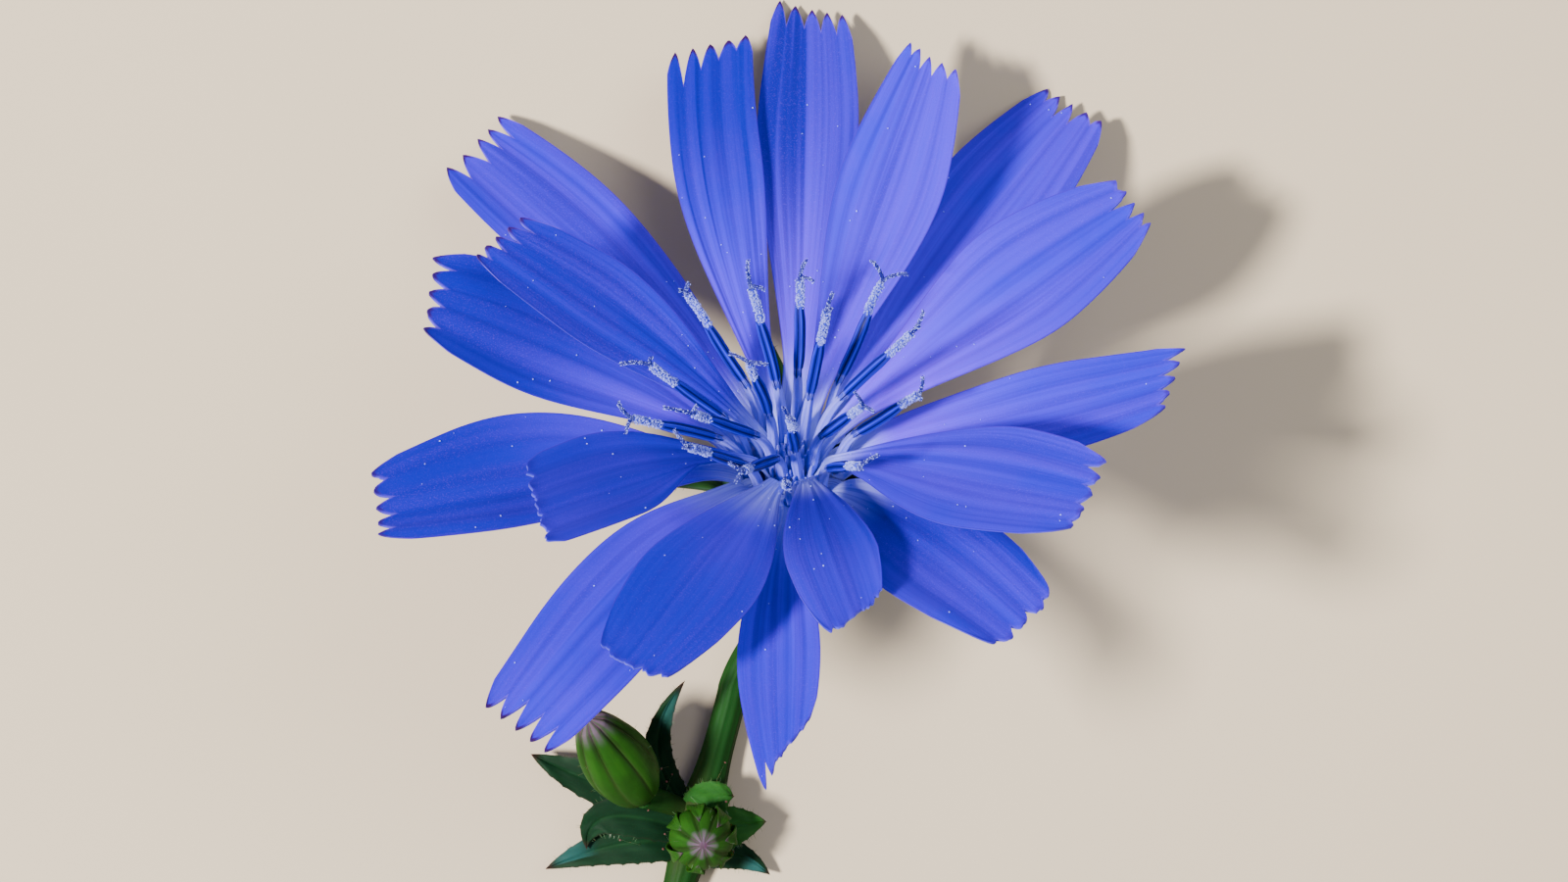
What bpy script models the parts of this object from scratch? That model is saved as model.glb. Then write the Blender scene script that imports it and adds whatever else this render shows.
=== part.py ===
# Chicory flower, picked with its stalk and laid on its side. Z is up, the table is at zero,
# and the flat spot under the leafy node is at the origin. Lengths below are in millimetres.

import math

import bmesh
import bpy
from mathutils import Matrix, Vector

MM = 0.001

# Head: the plane of its throat, and the lean of its axis towards +Y
THROAT = Vector((5.0, 19.0, 11.2))
HEAD_TILT = 36.0
AXIS = Vector((0, math.sin(math.radians(HEAD_TILT)), math.cos(math.radians(HEAD_TILT))))
ACROSS = Vector((1, 0, 0))
UP_SLOPE = AXIS.cross(ACROSS)

# Ray florets: the straight part of each runs from its seed up to the foot of its claw, and its blade
# is longer than its reach by the factor ARC. Teeth and notches are given across the blade, from -1 to 1
BLADE_THICK = 0.6
SEED_HEIGHT = -7.6
CLAW_FOOT = -2.3
ARC = 1.05
TOOTH_DEPTH = 1.15
TOOTH_COLUMNS = (-1, -0.82, -0.62, -0.41, -0.2, 0, 0.2, 0.41, 0.62, 0.82, 1)
TOOTH_CUT = (0.75, 0, 1, 0, 1, 0, 1, 0, 1, 0, 0.75)
BLADE_ROWS = (0, 0.1, 0.21, 0.33, 0.46, 0.6, 0.73, 0.85, 0.93, 1)
PLEAT = 0.12
BLADE_CUP = 0.05
# ring: radius of the root, width and rise of the claw, how far along the blade is full, and its swelling
OUTER = dict(radius=2.5, claw=0.9, rise=1.7, full=0.85, swell=1.6)
INNER = dict(radius=1.3, claw=0.62, rise=2.6, full=0.8, swell=1.95)
# ring, root azimuth, then the tip's azimuth, reach and lift, widest width, and in degrees:
# slope of the tip, side bend, roll, and slant of the toothed end; last, how far that end narrows
RAYS = (
    (OUTER, 359, 3.5, 18.6, 5.7, 4.8, 6, 12, 0, -22, 0.3),
    (INNER, 22, 33, 19.8, 6.8, 6.1, 8, 2, 0, 6, 0.42),
    (OUTER, 45, 56, 25.2, 2.02, 5.7, -6, 0, 0, 4, 0.3),
    (INNER, 65, 70.5, 21.6, 6.6, 4.5, 4, 2, 0, -2, 0.25),
    (OUTER, 88, 88, 24.8, 4.7, 5.0, -4, 4, 0, -2, 0.2),
    (INNER, 109, 100.5, 21.8, 6.8, 4.4, 4, -12, 0, 6, 0.15),
    (OUTER, 130, 129.7, 25.0, 1.82, 5.5, -8, 4, 0, 12, 0.25),
    (INNER, 152, 154, 15.3, 9.4, 5.3, 20, 2, 0, -4, 0.25),
    (OUTER, 167, 165, 17.9, 7.6, 6.4, 12, 4, 0, -4, 0.2),
    (OUTER, 194, 199, 20.6, 6.0, 5.5, 6, 0, 0, -9, 0.2),
    (INNER, 208, 217, 14.8, 9.3, 6.0, 20, 2, 0, -12, 0.2),
    (OUTER, 230, 234, 21.8, 3.6, 5.5, -2, 0, 0, 6, 0.25),
    (INNER, 250, 247, 18.0, 7.5, 5.7, 8, -8, 0, 0, 0.3),
    (OUTER, 270, 269.5, 20.9, 4.8, 4.3, 2, 4, 12, 36, 0.55),
    (INNER, 296, 281.5, 14.7, 8.3, 4.5, 14, 2, 0, 10, 0.2),
    (OUTER, 313, 307, 17.8, 8.2, 5.7, 10, 0, 0, 9, 0.2),
    (INNER, 338, 329.5, 16.2, 9.15, 6.0, 16, 2, 0, 2, 0.25),
)

# Columns: anther tube, style, and its two branches, which curl through CURL radians. A column stands
# COLUMN_CLEAR over its ray, at this part of the way from the throat to the ray's tip
ANTHER_TUBE = 3.4
BRANCH = 1.3
COLUMN_PLACE = 0.15
COLUMN_CLEAR = 0.3
COLUMN_SIDES = 7
FILAMENT_RADIUS = 0.17
ANTHER_RADIUS = 0.3
STYLE_RADIUS = 0.17
BRANCH_TIP_RADIUS = 0.14
CURL = 1.9
# azimuth and lean of each column, the length of its filaments, how far it stands to one side, and
# the length of its style up to the fork, in the order of the rays
COLUMNS = (
    (348.5, 37, 2.0, 0, 1.4), (8.5, 36.5, 3.7, -0.25, 2.1), (55, 42.5, 2.2, 0.1, 1.8),
    (46, 11.5, 2.35, -0.14, 2.3), (87.5, 27.5, 2.05, -0.1, 1.5), (120.5, 26, 2.6, -0.1, 2.0),
    (142.5, 39.5, 2.0, -0.1, 2.1), (213, 12.5, 2.05, -0.19, 1.4), (180, 40, 2.5, 0.25, 1.9),
    (197, 52, 2.5, -0.14, 1.8), (205, 42, 2.45, 0, 1.3), (222, 37, 2.8, 0.2, 2.1),
    (243, 46.5, 1.55, -0.15, 1.1), (268, 39, 2.5, -0.06, 0.7), (263, 21.5, 2.1, -0.22, 2.0),
    (295, 37, 2.3, -0.2, 1.9), (319.5, 28.5, 2.35, 0, 1.6),
)

# Involucre: (radius, height) down the outside and up the inside of the cup, and along the bracts
CUP_PROFILE = (
    (3.62, -0.75), (3.62, -2.4), (3.74, -4.4), (3.66, -6.6), (3.2, -8.3), (1.75, -9.3),
    (1.3, -9.2), (2.85, -8.2), (3.04, -6.6), (3.1, -4.4), (3.05, -2.4), (3.08, -0.75),
)
CUP_INSIDE = 3.15
CUP_SIDES = 32
CUP_RIB = 0.1
BRACTS = 8
BRACT_TURN = 7
BRACT_TIPS = (7, 52, 98, 121, 190, 234, 277, 320)
BRACT_WIDTH = 2.1
BRACT_STATIONS = ((3.42, -2.2), (3.48, -0.9), (4.1, -0.25), (5.6, 0.2), (7.4, 0.55))
OUTER_BRACTS = (43, 115, 187, 259, 331)
OUTER_BRACT_WIDTH = 2.6
OUTER_BRACT_STATIONS = ((3.3, -8.0), (4.0, -7.0), (4.45, -5.6), (4.75, -3.9))

# Stem: it lies from the cut end to the bend, and from there its curve rises into the head
STEM_RADIUS = 0.78
STEM_SIDES = 14
CUT_END = Vector((-10.4, -35.4, STEM_RADIUS))
STEM_MIDDLE = Vector((-1.0, -3.2, STEM_RADIUS))
BEND = Vector((2.2, 7.9, STEM_RADIUS))
BEND_HEADING = Vector((0.3, 0.954, 0))
BEND_PULL = 2.4
STEM_STATIONS = (0, 0.14, 0.28, 0.4, 0.5, 0.54, 0.58, 0.61, 0.645, 0.68, 0.73, 0.79, 0.87, 1)
RISE_STATIONS = (0.25, 0.5, 0.75)
# its node: how much thicker it is, where, and how far the swelling goes along the stem
NODE_SWELL = 0.42
NODE_CENTRE = 1.2
NODE_LENGTH = 2.2
RECEPTACLE = ((0.95, -9.6), (1.1, -8.9), (2.55, -8.25), (2.6, -7.9))

# Leaves of the node: base, middle, tip and width
LEAVES = (
    ((-0.4, 1.7, 1.0), (-4.8, 3.0, 1.9), (-8.3, 4.6, 1.5), 2.5),
    ((-0.1, 2.3, 1.4), (-1.25, 5.2, 3.0), (-0.5, 8.2, 4.2), 1.4),
    ((-0.4, 0.9, 1.5), (-4.4, 1.5, 2.6), (-5.5, -0.2, 1.7), 2.0),
    ((-0.4, 0.3, 1.0), (-3.8, 0.1, 1.5), (-7.2, -0.8, 0.9), 2.4),
    ((0.2, 1.7, 1.4), (1.2, 2.5, 2.5), (2.2, 3.0, 2.3), 2.2),
    ((0.2, 0.6, 1.4), (2.0, 1.1, 2.1), (3.7, 1.3, 1.9), 2.3),
    ((0.1, -0.4, 0.9), (2.1, -0.4, 0.95), (4.1, -1.5, 0.8), 1.6),
)
LEAF_COLUMNS = (-1, -0.5, 0, 0.5, 1)
LEAF_ROWS = 7
LEAF_FOLD = 0.16
LEAF_WAVE = 0.05

# Buds: base, tip and largest radius; a stalk and a perch of the stem end just under them
LARGE_BUD = (Vector((-2.3, 2.9, 3.65)), Vector((-4.9, 6.65, 8.25)), 1.8)
SMALL_BUD = (Vector((0.45, 0.75, 2.9)), Vector((0.62, 0.35, 5.4)), 1.5)
BUD_RIBS = 8
BUD_RIB = 0.07
BUD_SIDES = 16
BUD_STATIONS = (0.0, 0.1, 0.25, 0.45, 0.65, 0.82, 0.94, 1.0)
BUD_CLEAR = 0.3


# Places in the head
def radial(azimuth):
    angle = math.radians(azimuth)
    return ACROSS * math.cos(angle) + UP_SLOPE * math.sin(angle)


def head_point(radius, azimuth, height):
    return THROAT + radial(azimuth) * radius + AXIS * height


# Curves
def smooth(x):
    x = min(1, max(0, x))
    return x * x * (3 - 2 * x)


def cubic(ends, t):
    a, b, c, d = ends
    s = 1 - t
    return a * s ** 3 + b * (3 * s * s * t) + c * (3 * s * t * t) + d * t ** 3


def quadratic(ends, t):
    a, b, c = ends
    b = b * 2 - (a + c) / 2
    s = 1 - t
    return a * s * s + b * (2 * s * t) + c * t * t


def sideways(direction, along):
    return (direction - along * direction.dot(along)).normalized()


# Meshes
def new_object(name, points, faces, material):
    mesh = bpy.data.meshes.new(name)
    mesh.from_pydata([point * MM for point in points], [], faces)
    work = bmesh.new()
    work.from_mesh(mesh)
    bmesh.ops.triangulate(work, faces=[face for face in work.faces if len(face.verts) > 4])
    work.to_mesh(mesh)
    work.free()
    mesh.shade_smooth()
    mesh.set_sharp_from_angle(angle=math.radians(40))
    mesh.materials.append(material)
    obj = bpy.data.objects.new(name, mesh)
    bpy.context.scene.collection.objects.link(obj)
    return obj


def blade(name, rows, material):
    # rows holds, from root to tip, the points of the blade's middle face and their normals
    points = []
    wide = len(rows[0])
    for side in (0.5, -0.5):
        for row in rows:
            points += [point + normal * side * BLADE_THICK for point, normal in row]
    below = len(rows) * wide
    faces = []
    for j in range(len(rows) - 1):
        for i in range(wide - 1):
            a = j * wide + i
            b, c, d = a + 1, a + wide + 1, a + wide
            faces += [(a, c, b), (a, d, c)]
            faces += [(below + a, below + b, below + c), (below + a, below + c, below + d)]
    last = (len(rows) - 1) * wide
    rim = list(range(wide)) + [j * wide + wide - 1 for j in range(1, len(rows))]
    rim += [last + i for i in range(wide - 2, -1, -1)] + [j * wide for j in range(len(rows) - 2, 0, -1)]
    for a, b in zip(rim, rim[1:] + rim[:1]):
        faces += [(a, b, below + b), (a, below + b, below + a)]
    return new_object(name, points, faces, material)


def tube(name, path, radii, sides, material, floor=None):
    # a round rod along the path, with closed ends; nothing of it lies under the floor
    points = []
    across = None
    for k, centre in enumerate(path):
        along = (path[min(k + 1, len(path) - 1)] - path[max(k - 1, 0)]).normalized()
        across = sideways(across or ACROSS, along)
        other = along.cross(across)
        for i in range(sides):
            angle = 2 * math.pi * i / sides
            point = centre + (across * math.cos(angle) + other * math.sin(angle)) * radii[k]
            if floor is not None and point.z < floor:
                point.z = floor
            points.append(point)
    faces = [tuple(range(sides))[::-1], tuple(range(len(points) - sides, len(points)))]
    for k in range(len(path) - 1):
        for i in range(sides):
            a, b = k * sides + i, k * sides + (i + 1) % sides
            faces += [(a, b, b + sides), (a, b + sides, a + sides)]
    return new_object(name, points, faces, material)


def join(base, others):
    # one Boolean union, applied, with the joined objects removed
    gathered = bpy.data.collections.new(base.name + "_joined")
    bpy.context.scene.collection.children.link(gathered)
    for other in others:
        gathered.objects.link(other)
    union = base.modifiers.new("union", "BOOLEAN")
    union.operation = "UNION"
    union.operand_type = "COLLECTION"
    union.collection = gathered
    bpy.context.view_layer.update()
    graph = bpy.context.evaluated_depsgraph_get()
    joined = bpy.data.meshes.new_from_object(base.evaluated_get(graph))
    base.modifiers.clear()
    base.data = joined
    for other in others:
        bpy.data.objects.remove(other)
    bpy.data.collections.remove(gathered)
    joined.shade_smooth()
    joined.set_sharp_from_angle(angle=math.radians(40))


def paint(name, colour, roughness):
    material = bpy.data.materials.new(name)
    material.use_nodes = True
    shader = material.node_tree.nodes["Principled BSDF"]
    shader.inputs["Base Color"].default_value = (*colour, 1)
    shader.inputs["Roughness"].default_value = roughness
    shader.inputs["Metallic"].default_value = 0
    return material


# Ray florets
def ray_ends(ray):
    # control points of the blade's centreline, from the throat to the tip
    ring, root, azimuth, reach, lift, _, slope, bend = ray[:8]
    start = head_point(ring["radius"], root, 0)
    claw = head_point(ring["radius"] * 1.1, root, ring["rise"])
    tip = head_point(reach, azimuth, lift)
    angle = math.radians(slope)
    heading = radial(azimuth + bend) * math.cos(angle) + AXIS * math.sin(angle)
    return start, claw, tip - heading * reach * 0.5, tip


def ray_width(ray, t):
    claw, wide = ray[0]["claw"], ray[5]
    grown = smooth(t / ray[0]["full"]) ** ray[0]["swell"]
    narrowed = 1 - ray[10] * max(0, (t - 0.7) / 0.3) ** 2
    return claw + (wide - claw) * grown * narrowed


def ray_frame(ray, t):
    ends = ray_ends(ray)
    step = 0.01
    along = (cubic(ends, min(1, t + step)) - cubic(ends, max(0, t - step))).normalized()
    turned = ray[1] + ((ray[2] + ray[7] - ray[1] + 180) % 360 - 180) * smooth(t / 0.5)
    across = sideways(radial(turned + 90), along)
    across = Matrix.Rotation(math.radians(ray[8]) * smooth(t), 3, along) @ across
    return cubic(ends, t), along, across, along.cross(across)


def ray_point(ray, t, u, cut):
    # a furrow runs into each notch, and the sides turn up
    centre, _, across, normal = ray_frame(ray, t)
    wide = ray_width(ray, t)
    rise = BLADE_CUP * wide * u * u - PLEAT * (cut - 0.5)
    return centre + across * (u * wide / 2) + normal * rise * smooth(t / 0.3), normal


def ray_rows(ray):
    ring, root = ray[0], ray[1]
    rows = []
    across, inward = radial(root + 90), -radial(root)
    for height in (SEED_HEIGHT, CLAW_FOOT):
        centre = head_point(ring["radius"], root, height)
        rows.append([(centre + across * (u * ring["claw"] / 2), inward) for u in TOOTH_COLUMNS])
    slant = math.tan(math.radians(ray[9]))
    for t in BLADE_ROWS:
        row = []
        for u, cut in zip(TOOTH_COLUMNS, TOOTH_CUT):
            slanted = slant * (u + 0.3 * abs(slant)) * ray_width(ray, 1) / 2
            back = (cut * TOOTH_DEPTH + slanted) / (ray[3] * ARC)
            row.append(ray_point(ray, t - back * smooth((t - 0.55) / 0.45), u, cut))
        rows.append(row)
    return rows


# Columns
def column_start(ray, place):
    # just clear of the claw, on the side of it that faces the axis
    root, _, across, normal = ray_frame(ray, COLUMN_PLACE)
    out = BLADE_THICK / 2 + COLUMN_CLEAR + FILAMENT_RADIUS
    return root + normal * out + across * place[3], across


def column_path(ray, place):
    # foot and head of the anther tube, and the place where the style forks
    azimuth, lean, tall, _, style = place
    angle = math.radians(lean)
    heading = radial(azimuth) * math.sin(angle) + AXIS * math.cos(angle)
    base = column_start(ray, place)[0] + (heading + AXIS).normalized() * tall
    top = base + heading * ANTHER_TUBE
    return base, top, top + heading * style


def column_branches(fork, heading, outward):
    # the two branches curl apart from the end of the style
    branches = []
    for way in (1, -1):
        branch = []
        for t in (0, 0.35, 0.7, 1):
            along = heading * math.sin(CURL * t) * 0.6
            aside = outward * way * (1 - math.cos(CURL * t)) * 0.55
            branch.append(fork + (along + aside) * BRANCH)
        branches.append(branch)
    return branches


def column(number, ray, place, material):
    start, across = column_start(ray, place)
    base, top, fork = column_path(ray, place)
    heading = (top - base).normalized()
    rise = place[2] * 0.45
    bow = (start, start + AXIS * rise, base - heading * rise, base)
    path = [cubic(bow, t) for t in (0, 0.35, 0.7, 1)]
    radii = [FILAMENT_RADIUS, FILAMENT_RADIUS, 0.19, 0.25]
    for reach, radius in ((0.25, ANTHER_RADIUS), (ANTHER_TUBE * 0.6, ANTHER_RADIUS), (ANTHER_TUBE, 0.25)):
        path.append(base + heading * reach)
        radii.append(radius)
    path.append(top + heading * 0.15)
    outward = sideways(Matrix.Rotation(math.radians(35 * number), 3, heading) @ across, heading)
    first, second = column_branches(fork, heading, outward)
    whole = tube(f"column_{number:02d}", path + first,
                 radii + [STYLE_RADIUS] * 4 + [BRANCH_TIP_RADIUS], COLUMN_SIDES, material)
    sunk = [fork - heading * 0.45] + second[1:]
    sunk_radii = [0.12, STYLE_RADIUS, STYLE_RADIUS, BRANCH_TIP_RADIUS]
    join(whole, [tube("branch", sunk, sunk_radii, COLUMN_SIDES, material)])
    return whole


# Involucre
def bract(azimuth, tip_azimuth, stations, wide, material):
    # stations holds (radius, height) from root to tip
    rows = []
    turn = (tip_azimuth - azimuth) / (len(stations) - 1) ** 2
    path = [head_point(radius, azimuth + turn * k * k, height) for k, (radius, height) in enumerate(stations)]
    for k, centre in enumerate(path):
        along = (path[min(k + 1, len(path) - 1)] - path[max(k - 1, 0)]).normalized()
        across = sideways(radial(azimuth + 90), along)
        normal = along.cross(across)
        t = k / (len(path) - 1)
        half = wide / 2 * max(0.12, (1 - t ** 1.8) * (0.75 + 0.5 * t))
        rows.append([(centre + across * half * u + normal * 0.12 * half * u * u, normal) for u in (-1, 0, 1)])
    return blade("bract", rows, material)


def involucre(material):
    points = []
    for radius, height in CUP_PROFILE:
        outside = radius > CUP_INSIDE
        for i in range(CUP_SIDES):
            azimuth = 360 * i / CUP_SIDES
            rib = CUP_RIB * math.cos(math.radians(BRACTS * (azimuth - BRACT_TURN))) if outside else 0
            points.append(head_point(radius + rib, azimuth, height))
    faces = []
    rings = len(CUP_PROFILE)
    for k in range(rings):
        for i in range(CUP_SIDES):
            a, b = k * CUP_SIDES + i, k * CUP_SIDES + (i + 1) % CUP_SIDES
            c, d = (a + CUP_SIDES) % (rings * CUP_SIDES), (b + CUP_SIDES) % (rings * CUP_SIDES)
            faces += [(a, d, b), (a, c, d)]
    cup = new_object("involucre", points, faces, material)
    others = []
    for k, tip in enumerate(BRACT_TIPS):
        others.append(bract(BRACT_TURN + 360 / BRACTS * k, tip, BRACT_STATIONS, BRACT_WIDTH, material))
    for azimuth in OUTER_BRACTS:
        others.append(bract(azimuth, azimuth, OUTER_BRACT_STATIONS, OUTER_BRACT_WIDTH, material))
    join(cup, others)
    return cup


# Stem, with its node, its leaves and the receptacle
def stem_path():
    # the node swells more above the centreline than below it, and the table flattens it there
    foot = head_point(0, 0, RECEPTACLE[0][1])
    points, radii = [], []
    for t in STEM_STATIONS:
        centre = quadratic((CUT_END, STEM_MIDDLE, BEND), t)
        swell = NODE_SWELL * math.exp(-((centre.y - NODE_CENTRE) / NODE_LENGTH) ** 2)
        points.append(centre + Vector((0, 0, swell * 0.6)))
        radii.append(STEM_RADIUS + swell)
    rise = (BEND, BEND + BEND_HEADING * BEND_PULL, foot - AXIS * BEND_PULL, foot)
    for t in RISE_STATIONS:
        points.append(cubic(rise, t))
        radii.append(STEM_RADIUS + 0.12 * t)
    for radius, height in RECEPTACLE:
        points.append(head_point(0, 0, height))
        radii.append(radius)
    return points, radii


def leaf(place, material):
    ends = [Vector(point) for point in place[:3]]
    wide = place[3]
    rows = []
    for j in range(LEAF_ROWS):
        t = j / (LEAF_ROWS - 1)
        along = (quadratic(ends, min(1, t + 0.02)) - quadratic(ends, max(0, t - 0.02))).normalized()
        across = sideways(Vector((0, 0, 1)).cross(along), along)
        normal = along.cross(across)
        half = wide / 2 * max(0.14, math.sin(math.pi * (0.2 + 0.8 * t) ** 0.8) ** 0.8)
        row = []
        for u in LEAF_COLUMNS:
            fold = LEAF_FOLD * half * abs(u) + LEAF_WAVE * math.sin(9 * t + 2 * u)
            row.append((quadratic(ends, t) + across * half * u + normal * fold, normal))
        rows.append(row)
    return blade("leaf", rows, material)


def under(bud_shape):
    # the place just below a bud, where what carries it ends
    base, tip, _ = bud_shape
    return base - (tip - base).normalized() * BUD_CLEAR


def stem(material):
    path, radii = stem_path()
    whole = tube("stem", path, radii, STEM_SIDES, material, floor=0)
    stalk = [Vector((-0.1, 1.7, 1.2)), Vector((-1.1, 2.2, 1.7)), under(LARGE_BUD)]
    perch = [Vector((0.25, 0.9, 0.9)), under(SMALL_BUD)]
    others = [leaf(place, material) for place in LEAVES]
    others.append(tube("stalk", stalk, [0.5, 0.55, 0.6], 10, material))
    others.append(tube("perch", perch, [0.7, 0.6], 10, material))
    join(whole, others)
    return whole


# Buds
def bud(name, shape, material):
    base, tip, wide = shape
    along = (tip - base).normalized()
    across = sideways(ACROSS, along)
    other = along.cross(across)
    points = []
    for t in BUD_STATIONS:
        full = math.sin(math.pi * (0.13 + 0.8 * t ** 0.85)) ** 0.75
        for i in range(BUD_SIDES):
            angle = 2 * math.pi * i / BUD_SIDES
            rib = 1 + BUD_RIB * math.cos(BUD_RIBS * angle) * (0.4 + t)
            spoke = across * math.cos(angle) + other * math.sin(angle)
            points.append(base + (tip - base) * t + spoke * wide * full * rib)
    faces = [tuple(range(BUD_SIDES))[::-1], tuple(range(len(points) - BUD_SIDES, len(points)))]
    for k in range(len(BUD_STATIONS) - 1):
        for i in range(BUD_SIDES):
            a, b = k * BUD_SIDES + i, k * BUD_SIDES + (i + 1) % BUD_SIDES
            faces += [(a, b, b + BUD_SIDES), (a, b + BUD_SIDES, a + BUD_SIDES)]
    return new_object(name, points, faces, material)


def main():
    for obj in list(bpy.data.objects):
        bpy.data.objects.remove(obj)
    blue = paint("ray_blue", (0.07, 0.09, 0.72), 0.6)
    dark = paint("anther_blue", (0.02, 0.08, 0.3), 0.5)
    green = paint("stem_green", (0.03, 0.12, 0.03), 0.6)
    cup_green = paint("involucre_green", (0.06, 0.2, 0.04), 0.6)
    bud_green = paint("bud_green", (0.08, 0.25, 0.03), 0.55)
    stem(green)
    involucre(cup_green)
    bud("large_bud", LARGE_BUD, bud_green)
    bud("small_bud", SMALL_BUD, bud_green)
    for number, ray in enumerate(RAYS, 1):
        blade(f"ray_floret_{number:02d}", ray_rows(ray), blue)
    for number, (ray, place) in enumerate(zip(RAYS, COLUMNS), 1):
        column(number, ray, place, dark)


main()
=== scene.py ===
# Chicory flower: the looks of the picked flower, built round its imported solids.
# Lengths are in millimetres until a mesh is made. An azimuth is in degrees round the head's axis.
import math

import bpy
import numpy as np
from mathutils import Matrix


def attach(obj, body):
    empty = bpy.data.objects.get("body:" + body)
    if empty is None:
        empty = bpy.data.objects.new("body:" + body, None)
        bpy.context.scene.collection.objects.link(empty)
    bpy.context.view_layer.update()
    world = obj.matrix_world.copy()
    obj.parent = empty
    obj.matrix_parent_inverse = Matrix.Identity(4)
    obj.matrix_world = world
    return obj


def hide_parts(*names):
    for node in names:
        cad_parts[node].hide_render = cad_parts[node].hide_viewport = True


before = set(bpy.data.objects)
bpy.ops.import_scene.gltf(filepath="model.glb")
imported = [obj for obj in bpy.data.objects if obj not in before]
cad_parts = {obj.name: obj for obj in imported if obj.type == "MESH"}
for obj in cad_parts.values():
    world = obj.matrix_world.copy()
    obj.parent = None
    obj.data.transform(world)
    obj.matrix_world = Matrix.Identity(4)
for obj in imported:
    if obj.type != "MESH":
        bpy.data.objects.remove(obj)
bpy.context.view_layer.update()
mm = 0.001
print("solids loaded")


# The head: its throat and the lean of its axis
throat = np.array((5.0, 19.0, 11.2))
headTilt = math.radians(36)
headAxis = np.array((0, math.sin(headTilt), math.cos(headTilt)))
acrossWay = np.array((1.0, 0, 0))
upSlope = np.cross(headAxis, acrossWay)
anthers = 5  # joined in each tube, so the tube and its filaments have five lobes
noEdge = 9.0  # the distance kept at points that lie near no edge
sharpAngle = math.radians(60)  # edges that turn further than this stay sharp


# Vectors and curves
def unit(v):
    return v / np.linalg.norm(v, axis=-1, keepdims=True)


def smooth(x):
    x = np.clip(x, 0, 1)
    return x * x * (3 - 2 * x)


def sideways(direction, along):
    return unit(direction - along * (direction * along).sum(-1, keepdims=True))


def radial(azimuth):
    angle = np.radians(azimuth)[..., None]
    return acrossWay * np.cos(angle) + upSlope * np.sin(angle)


def headPoint(radius, azimuth, height):
    out = radial(azimuth) * np.asarray(radius, float)[..., None]
    return throat + out + headAxis * np.asarray(height, float)[..., None]


def cubic(ends, t):
    t = np.asarray(t, float)[..., None]
    a, b, c, d = ends
    s = 1 - t
    return a * s ** 3 + b * (3 * s * s * t) + c * (3 * s * t * t) + d * t ** 3


def quadratic(ends, t):  # passes through all three points
    t = np.asarray(t, float)[..., None]
    a, b, c = (np.asarray(end, float) for end in ends)
    b = b * 2 - (a + c) / 2
    s = 1 - t
    return a * s * s + b * (2 * s * t) + c * t * t


def passThrough(stations, t):  # a smooth line through every station, t from 0 to 1
    stations = np.asarray(stations, float)
    padded = np.vstack([2 * stations[0] - stations[1], stations, 2 * stations[-1] - stations[-2]])
    place = np.clip(np.asarray(t, float), 0, 1) * (len(stations) - 1)
    k = np.minimum(place.astype(int), len(stations) - 2)
    s = (place - k)[..., None]
    a, b, c, d = (padded[k + i] for i in range(4))
    bent = (2 * a - 5 * b + 4 * c - d) * s * s + (3 * b - 3 * c + d - a) * s ** 3
    return 0.5 * (2 * b + (c - a) * s + bent)


def turnAbout(v, along, angle):
    return v * np.cos(angle) + np.cross(along, v) * np.sin(angle)


def roundAngles(count):
    return 2 * math.pi * np.arange(count) / count


def crossWays(along, start=acrossWay):  # two directions square to a line and to each other
    side = sideways(start, along)
    return side, np.cross(along, side)


def perRow(value):  # one number for all, one for each row, or a grid of them
    value = np.asarray(value, float)
    return value[:, None] if value.ndim == 1 else value


# Shapes: each is a dictionary of points, faces, the material's number, and values kept at the points
def gridFaces(rows, cols, closed=False, looped=False):  # closed joins the two sides, looped the two ends
    i = np.arange(rows if looped else rows - 1)[:, None]
    j = np.arange(cols if closed else cols - 1)[None, :]
    here, below, after = i * cols, (i + 1) % rows * cols, (j + 1) % cols
    return np.stack([here + j, here + after, below + after, below + j], axis=-1).reshape(-1, 4).tolist()


def bladeShape(top, bottom, **values):  # two facing grids of points, closed round the rim
    rows, wide = top.shape[:2]
    below = rows * wide
    grid = gridFaces(rows, wide)
    rim = list(range(wide)) + [j * wide + wide - 1 for j in range(1, rows)]
    rim += [below - wide + i for i in range(wide - 2, -1, -1)] + [j * wide for j in range(rows - 2, 0, -1)]
    faces = [face[::-1] for face in grid] + [[below + k for k in face] for face in grid]
    faces += [[a, b, below + b, below + a] for a, b in zip(rim, rim[1:] + rim[:1])]
    points = np.concatenate([top.reshape(-1, 3), bottom.reshape(-1, 3)])
    numbers = {key: np.tile(np.broadcast_to(value, (rows, wide)).ravel(), 2) for key, value in values.items()}
    numbers["under"] = np.repeat((0.0, 1.0), below)
    return {"points": points, "faces": faces, "kind": 0, "values": numbers}


def tubeShape(path, radii, sides, kind=0, floor=None, **values):
    path = np.asarray(path, float)
    rows = len(path)
    along = unit(np.gradient(path, axis=0))
    across = [sideways(acrossWay, along[0])]
    for k in range(1, rows):
        across.append(sideways(across[-1], along[k]))
    across = np.array(across)
    angle = roundAngles(sides)[:, None]
    spoke = across[:, None] * np.cos(angle) + np.cross(along, across)[:, None] * np.sin(angle)
    points = (path[:, None] + spoke * perRow(radii)[..., None]).reshape(-1, 3)
    if floor is not None:
        points[:, 2] = np.maximum(points[:, 2], floor)
    faces = gridFaces(rows, sides, closed=True)
    faces += [list(range(sides))[::-1], list(range((rows - 1) * sides, rows * sides))]
    numbers = {key: np.broadcast_to(perRow(value), (rows, sides)).ravel() for key, value in values.items()}
    numbers["along"] = np.repeat(np.linspace(0, 1, rows), sides)
    numbers["around"] = np.tile(np.arange(sides) / sides, rows)
    return {"points": points, "faces": faces, "kind": kind, "values": numbers}


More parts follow.
